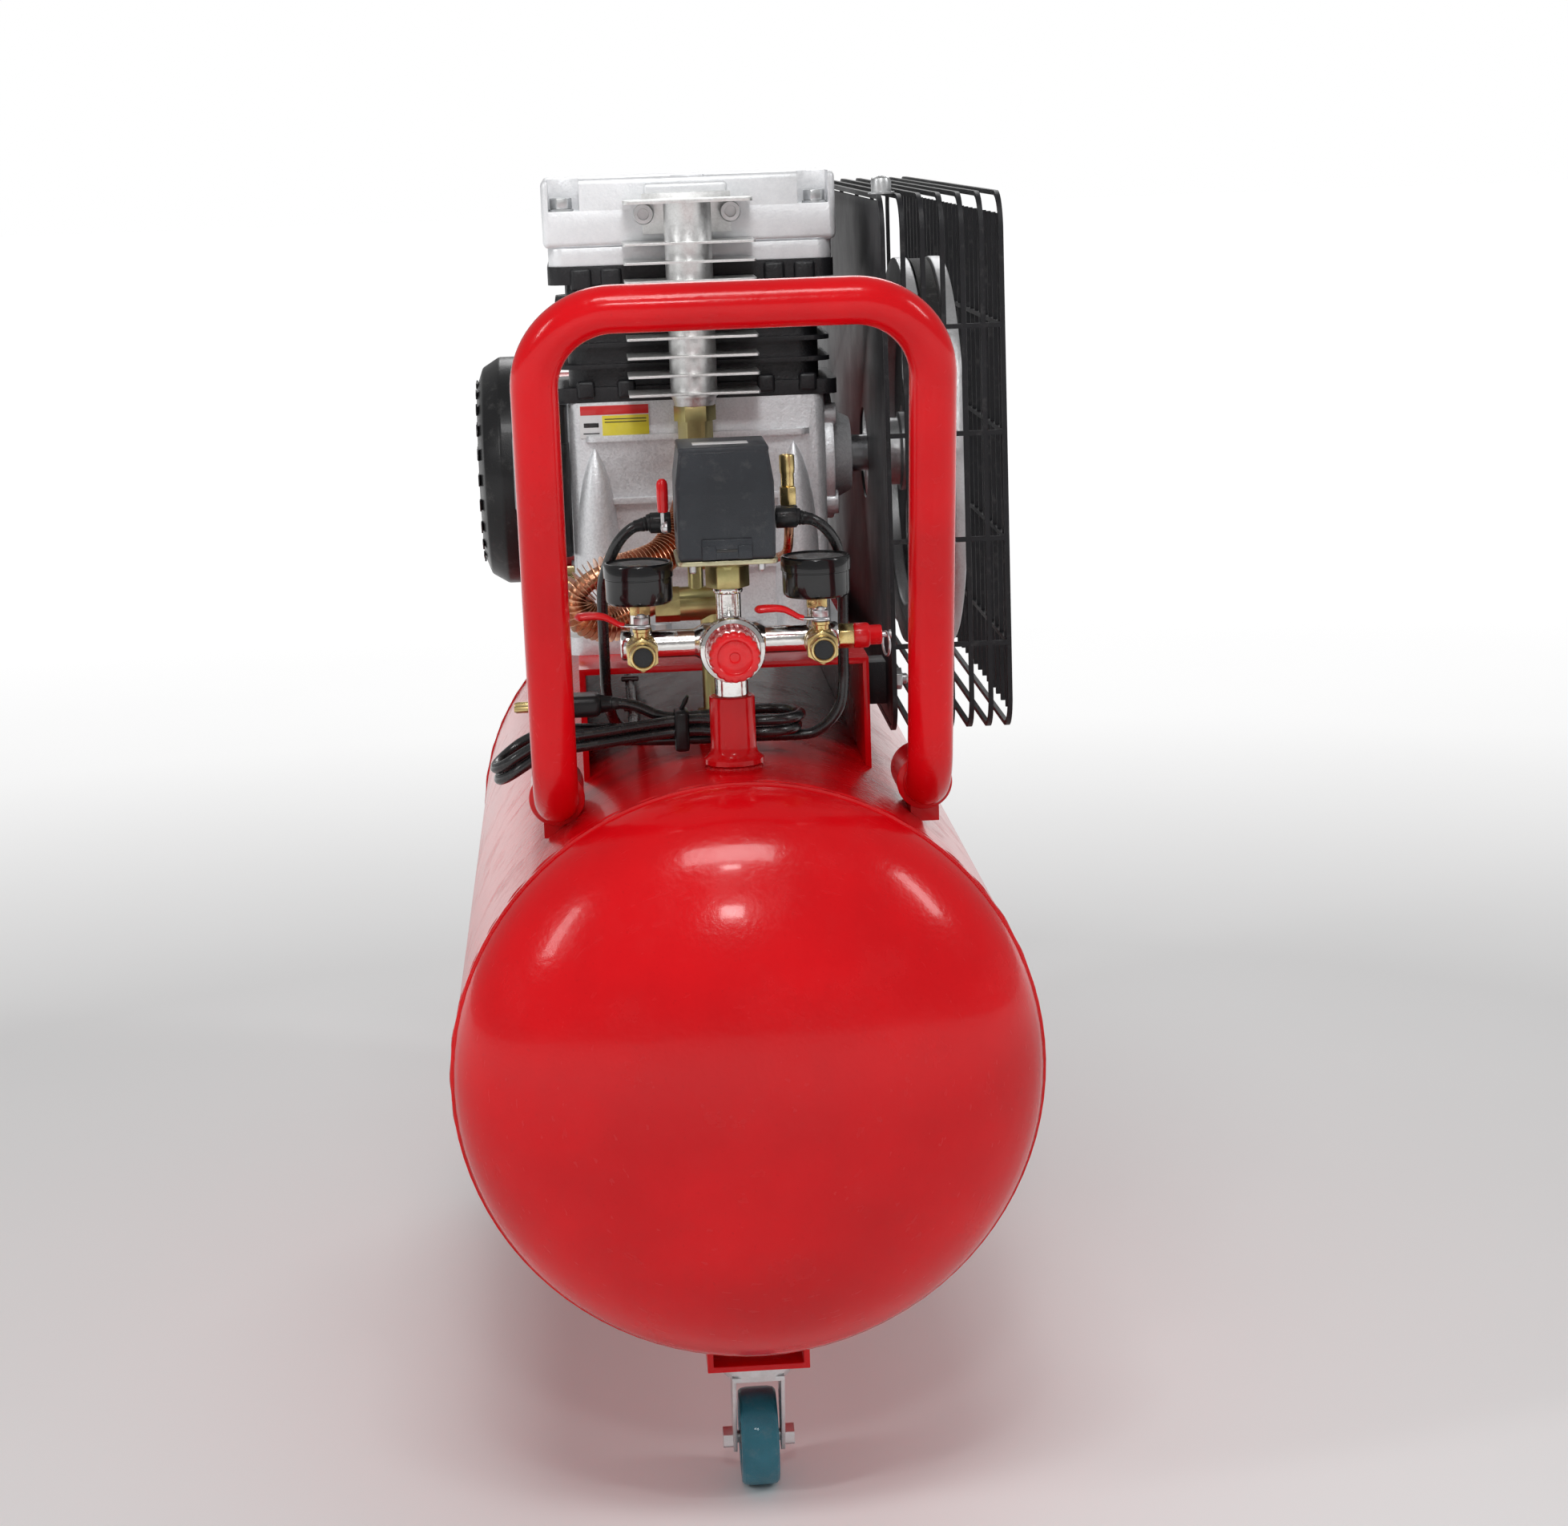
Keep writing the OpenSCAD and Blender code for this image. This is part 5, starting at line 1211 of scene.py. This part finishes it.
class ValvesOperator(bpy.types.Operator):
    """Makes the ball valves with sleeved levers, and the safety valve with its pull ring"""
    bl_idname = "compressor.valves"
    bl_label = "Valves"

    def execute(self, context):
        brass, zinc = finish("brass"), finish("zinc")
        bodies, balls = [], []
        for side in (-1, 1):
            at = mm(side * OUTLET_X, VALVE_BACK_Y, MANIFOLD_Z)
            bodies.append(lathe(f"valve_body_{side}", [
                (7.8, 0), (8.2, 3), (9.8, 4), (9.8, 9), (8.8, 10.5), (9.6, 13), (9.8, 19), (9.2, 23.5), (8.5, 26),
                (8.5, 30.5), (7.8, 31.2), (7.8, 31.8), (8.1, 32.5), (8.1, 39.5), (7.6, 40.8), (6.6, 41), (6.1, 40.4),
                (5.9, 39), (5.9, 27.5), (1, 27.2)], at, -Y, 96))
            bodies.append(hexagon(f"valve_hex_{side}", at - Y * 0.0235, -Y, 18.8, 7.2, 0.8, math.radians(30)))
            bodies.append(lathe(f"valve_neck_{side}", [(6.2, 6), (5.4, 9.2), (4.7, 9.8),
                                                       (4.7, 12.4), (5.5, 13), (5.5, 14.6)],
                                mm(side * OUTLET_X, STEM_Y, MANIFOLD_Z), Z, 48))
            balls.append(lathe(f"valve_ball_{side}", [(5.6, 27.4), (5.2, 29.2), (3.8, 30.8),
                                                      (1.6, 31.6), (0.4, 31.7)], at, -Y, 48))
        fit(joined("ball_valves", *bodies), brass, "root", ["valve_bodies"])
        fit(joined("valve_balls", *balls), finish("chrome"))
        # A black ridged lining inside each valve's threaded bore is painted shade of the hole
        bore_shades = [lathe(f"valve_bore_shade_{side}", [(5.85, 39.2)] + [
            (5.85 - 0.4 * (i % 2), 38.8 - 0.7 * i) for i in range(16)] + [(4.6, 27.6)],
            mm(side * OUTLET_X, VALVE_BACK_Y, MANIFOLD_Z), -Y, 48) for side in (-1, 1)]
        fit(joined("valve_bore_shades", *bore_shades), finish("black_casting"))
        for side, node, body in ((-1, "valve_lever_left", "left_valve_lever"),
                                 (1, "valve_lever_right", "right_valve_lever")):
            pin = mm(side * OUTLET_X, STEM_Y, LEVER_Z)
            strip_path = even([pin + mm(x, 0, z) for x, z in LEVER_STRIP], 0.001)
            strip = meshed(line(f"lever_strip_{side}", strip_path, 0.0009))
            sleeve_path = even([pin + mm(x, 0, z) for x, z in LEVER_SLEEVE], 0.0008)
            count = len(sleeve_path) - 1
            swell = [max(0.25, min(1, 0.62 + 0.5 * i / count)) * (1 - max(0, (i / count - 0.9) * 10) ** 2 * 0.75)
                     for i in range(count + 1)]
            sleeve = meshed(line(f"lever_sleeve_{side}", sleeve_path, 0.0026, swell))
            for piece, wide in ((strip, 4.0), (sleeve, 2.1)):
                with editing(piece):
                    bpy.ops.transform.resize(value=(1, wide, 1), center_override=tuple(pin))
            fit(sleeve, finish("red_vinyl"), body, [node]).name = node + "_sleeve"
            nut = hexagon(f"lever_nut_{side}", pin + Z * 0.0022, Z, 9.2, 4.2, 0.5)
            washer = lathe(f"lever_washer_{side}", [(5.4, 0), (5.8, 0.2), (5.8, 1), (5, 1.2)],
                           pin + Z * 0.0001, Z, 40)
            tip = lathe(f"lever_tip_{side}", [(2.8, 0), (2.8, 1.6), (2, 2.4)], pin + Z * 0.006, Z, 24)
            fit(joined(node + "_strip", strip, nut, washer, tip), zinc, body)
        hexed = hexagon("relief_hex", mm(68, COLUMN_Y, MANIFOLD_Z), X, 13.8, 9.5, 0.7)
        collar = lathe("relief_collar", [(6.6, 0), (6.6, 4.2)], mm(65, COLUMN_Y, MANIFOLD_Z), X, 40)
        fit(joined("relief_brass", hexed, collar), brass)
        cap = lathe("relief_cap", [(6.6, 0), (7.5, 0.4), (7.9, 1.4), (7.9, 8.5), (7.4, 9.7),
                                   (6.6, 10.2), (6.3, 10.8), (6.3, 16.8), (5.8, 17.8),
                                   (4.6, 18), (3, 17.4), (2.2, 16)], mm(77, COLUMN_Y, MANIFOLD_Z), X, 64)
        fit(cap, finish("red_vinyl"), "root", ["safety_valve"])
        pin = lathe("relief_pin", [(1.6, 0), (1.8, 0.4), (1.8, 10.8), (2.8, 11.2), (2.8, 12.2),
                                   (1, 12.6)], mm(88.5, COLUMN_Y, MANIFOLD_Z), X, 32)
        ring = add("torus", major_segments=56, minor_segments=12, major_radius=0.0074, minor_radius=0.0008)
        ring.matrix_world = (Matrix.Translation(mm(97.6, -350.6, 560.2)) @ Matrix.Rotation(math.radians(12), 4, "Z")
                             @ Matrix.Rotation(math.radians(90), 4, "Y"))
        smooth(settle(ring, "relief_ring_wire"), 60)
        fit(joined("relief_pull", pin, ring), zinc, "relief_ring", ["safety_pull_ring"])
        return {"FINISHED"}


class SwitchOperator(bpy.types.Operator):
    """Finishes the pressure switch, its cover, base plate and sleeved lever"""
    bl_idname = "compressor.switch"
    bl_label = "Pressure switch"

    def execute(self, context):
        from_node("switch_base", finish("zinc_yellow"), 0.8)
        plastic = finish("switch_plastic")
        cover = block("cover_shell", mm(-31, -386, 621.2), mm(29, -318.5, 689))
        with editing(cover):
            for z in (640, 668):
                bpy.ops.mesh.select_all(action="SELECT")
                bpy.ops.mesh.bisect(plane_co=mm(0, 0, z), plane_no=Z)
        centre = mm(-1), mm(-352)
        for vertex in cover.data.vertices:
            wide = {621: 0.985, 640: 1.0, 668: 1.0, 689: 0.9}[round(vertex.co.z * 1000)]
            vertex.co.x = centre[0] + (vertex.co.x - centre[0]) * wide
            vertex.co.y = centre[1] + (vertex.co.y - centre[1]) * (1 - (1 - wide) * 0.8)
        edges_round(cover, 2.6, 4, 14)
        rim = block("cover_rim", mm(-28.6, -383.6, 686.2), mm(26.6, -321, 690), 1.6, 3)
        tab = block("cover_latch", mm(-16.5, -387.4, 622), mm(14.5, -384, 634.5), 0.7, 3)
        ears = [block(f"cover_ear_{x}", mm(x, -388, 622), mm(x + 8.5, -384.5, 630.5), 0.6, 2) for x in (-16.2, 5.7)]
        fit(smooth(joined("switch_cover_shell", cover, rim, tab, *ears), 30), plastic, "root", ["switch_cover"])
        # A black strip on the latch tab is painted shade in place of its notch
        slot = block("latch_notch_shade", mm(-7.5, -387.7, 626.4), mm(5.5, -387, 628.4), 0.3)
        fit(slot, finish("needle_black"))
        strip = block("cover_strip", mm(-19, -366, 689.8), mm(15, -352, 690.3), 0.1)
        fit(strip, finish("print_white"))
        screws = [lathe(f"base_screw_{i}", [(2.2, 0), (2.2, 4.5), (1.6, 5.5)], mm(x, y, 618.5), -Z, 20)
                  for i, (x, y) in enumerate(((20, -378), (-22, -378), (20, -328), (-22, -328)))]
        sleeve = lathe("power_sleeve", [(1.9, 0), (3.1, 0.6), (3.4, 2), (3.6, 12), (3.5, 17.5),
                                        (2.9, 19.3), (1.6, 20.7), (0.4, 21)],
                       mm(-38.7, -370, 650), Z, 40)
        fit(sleeve, finish("red_vinyl"), "power_lever", ["switch_lever"])
        rod = lathe("power_rod", [(1.4, 0), (1.5, 0.5), (1.5, 10.5)], mm(-38.7, -370, 641), Z, 24)
        dome = lathe("power_dome", [(3.2, 0), (3.8, 0.6), (3.8, 2.2), (3, 3.8), (0.8, 4.6)],
                     mm(-36, -370, 641), -X, 36)
        fit(joined("power_rod", rod, dome), finish("zinc"), "power_lever")
        fit(joined("switch_screws", *screws), finish("zinc"))
        return {"FINISHED"}


# ---- The sidebar panel, and the run ----

STEPS = (StageOperator, CordsOperator, TankOperator, HandleOperator, PlatformOperator, WheelsOperator, PumpOperator,
         CoolerOperator, PipesOperator, DriveOperator, MotorOperator, GuardOperator, ManifoldOperator, GaugesOperator,
         ValvesOperator, SwitchOperator)


class CompressorPanel(bpy.types.Panel):
    bl_label = "Air compressor"
    bl_idname = "VIEW3D_PT_compressor"
    bl_space_type = "VIEW_3D"
    bl_region_type = "UI"
    bl_category = "Compressor"

    def draw(self, context):
        scene = context.scene
        for group in (scene.compressor_sizes, scene.compressor_colours, scene.compressor_studio):
            box = self.layout.box()
            for name in group.bl_rna.properties.keys():
                if name not in ("rna_type", "name"):
                    box.prop(group, name)
        for step in STEPS:
            self.layout.operator(step.bl_idname)


CLASSES = (CompressorColours, CompressorSizes, StudioSettings, *STEPS, CompressorPanel)


def register():
    for one in CLASSES:
        bpy.utils.register_class(one)
    bpy.types.Scene.compressor_colours = bpy.props.PointerProperty(type=CompressorColours)
    bpy.types.Scene.compressor_sizes = bpy.props.PointerProperty(type=CompressorSizes)
    bpy.types.Scene.compressor_studio = bpy.props.PointerProperty(type=StudioSettings)


def unregister():
    del bpy.types.Scene.compressor_colours, bpy.types.Scene.compressor_sizes, bpy.types.Scene.compressor_studio
    for one in reversed(CLASSES):
        bpy.utils.unregister_class(one)


def main():
    register()
    for step in STEPS:
        group, name = step.bl_idname.split(".")
        getattr(getattr(bpy.ops, group), name)()


if __name__ == "__main__":
    main()
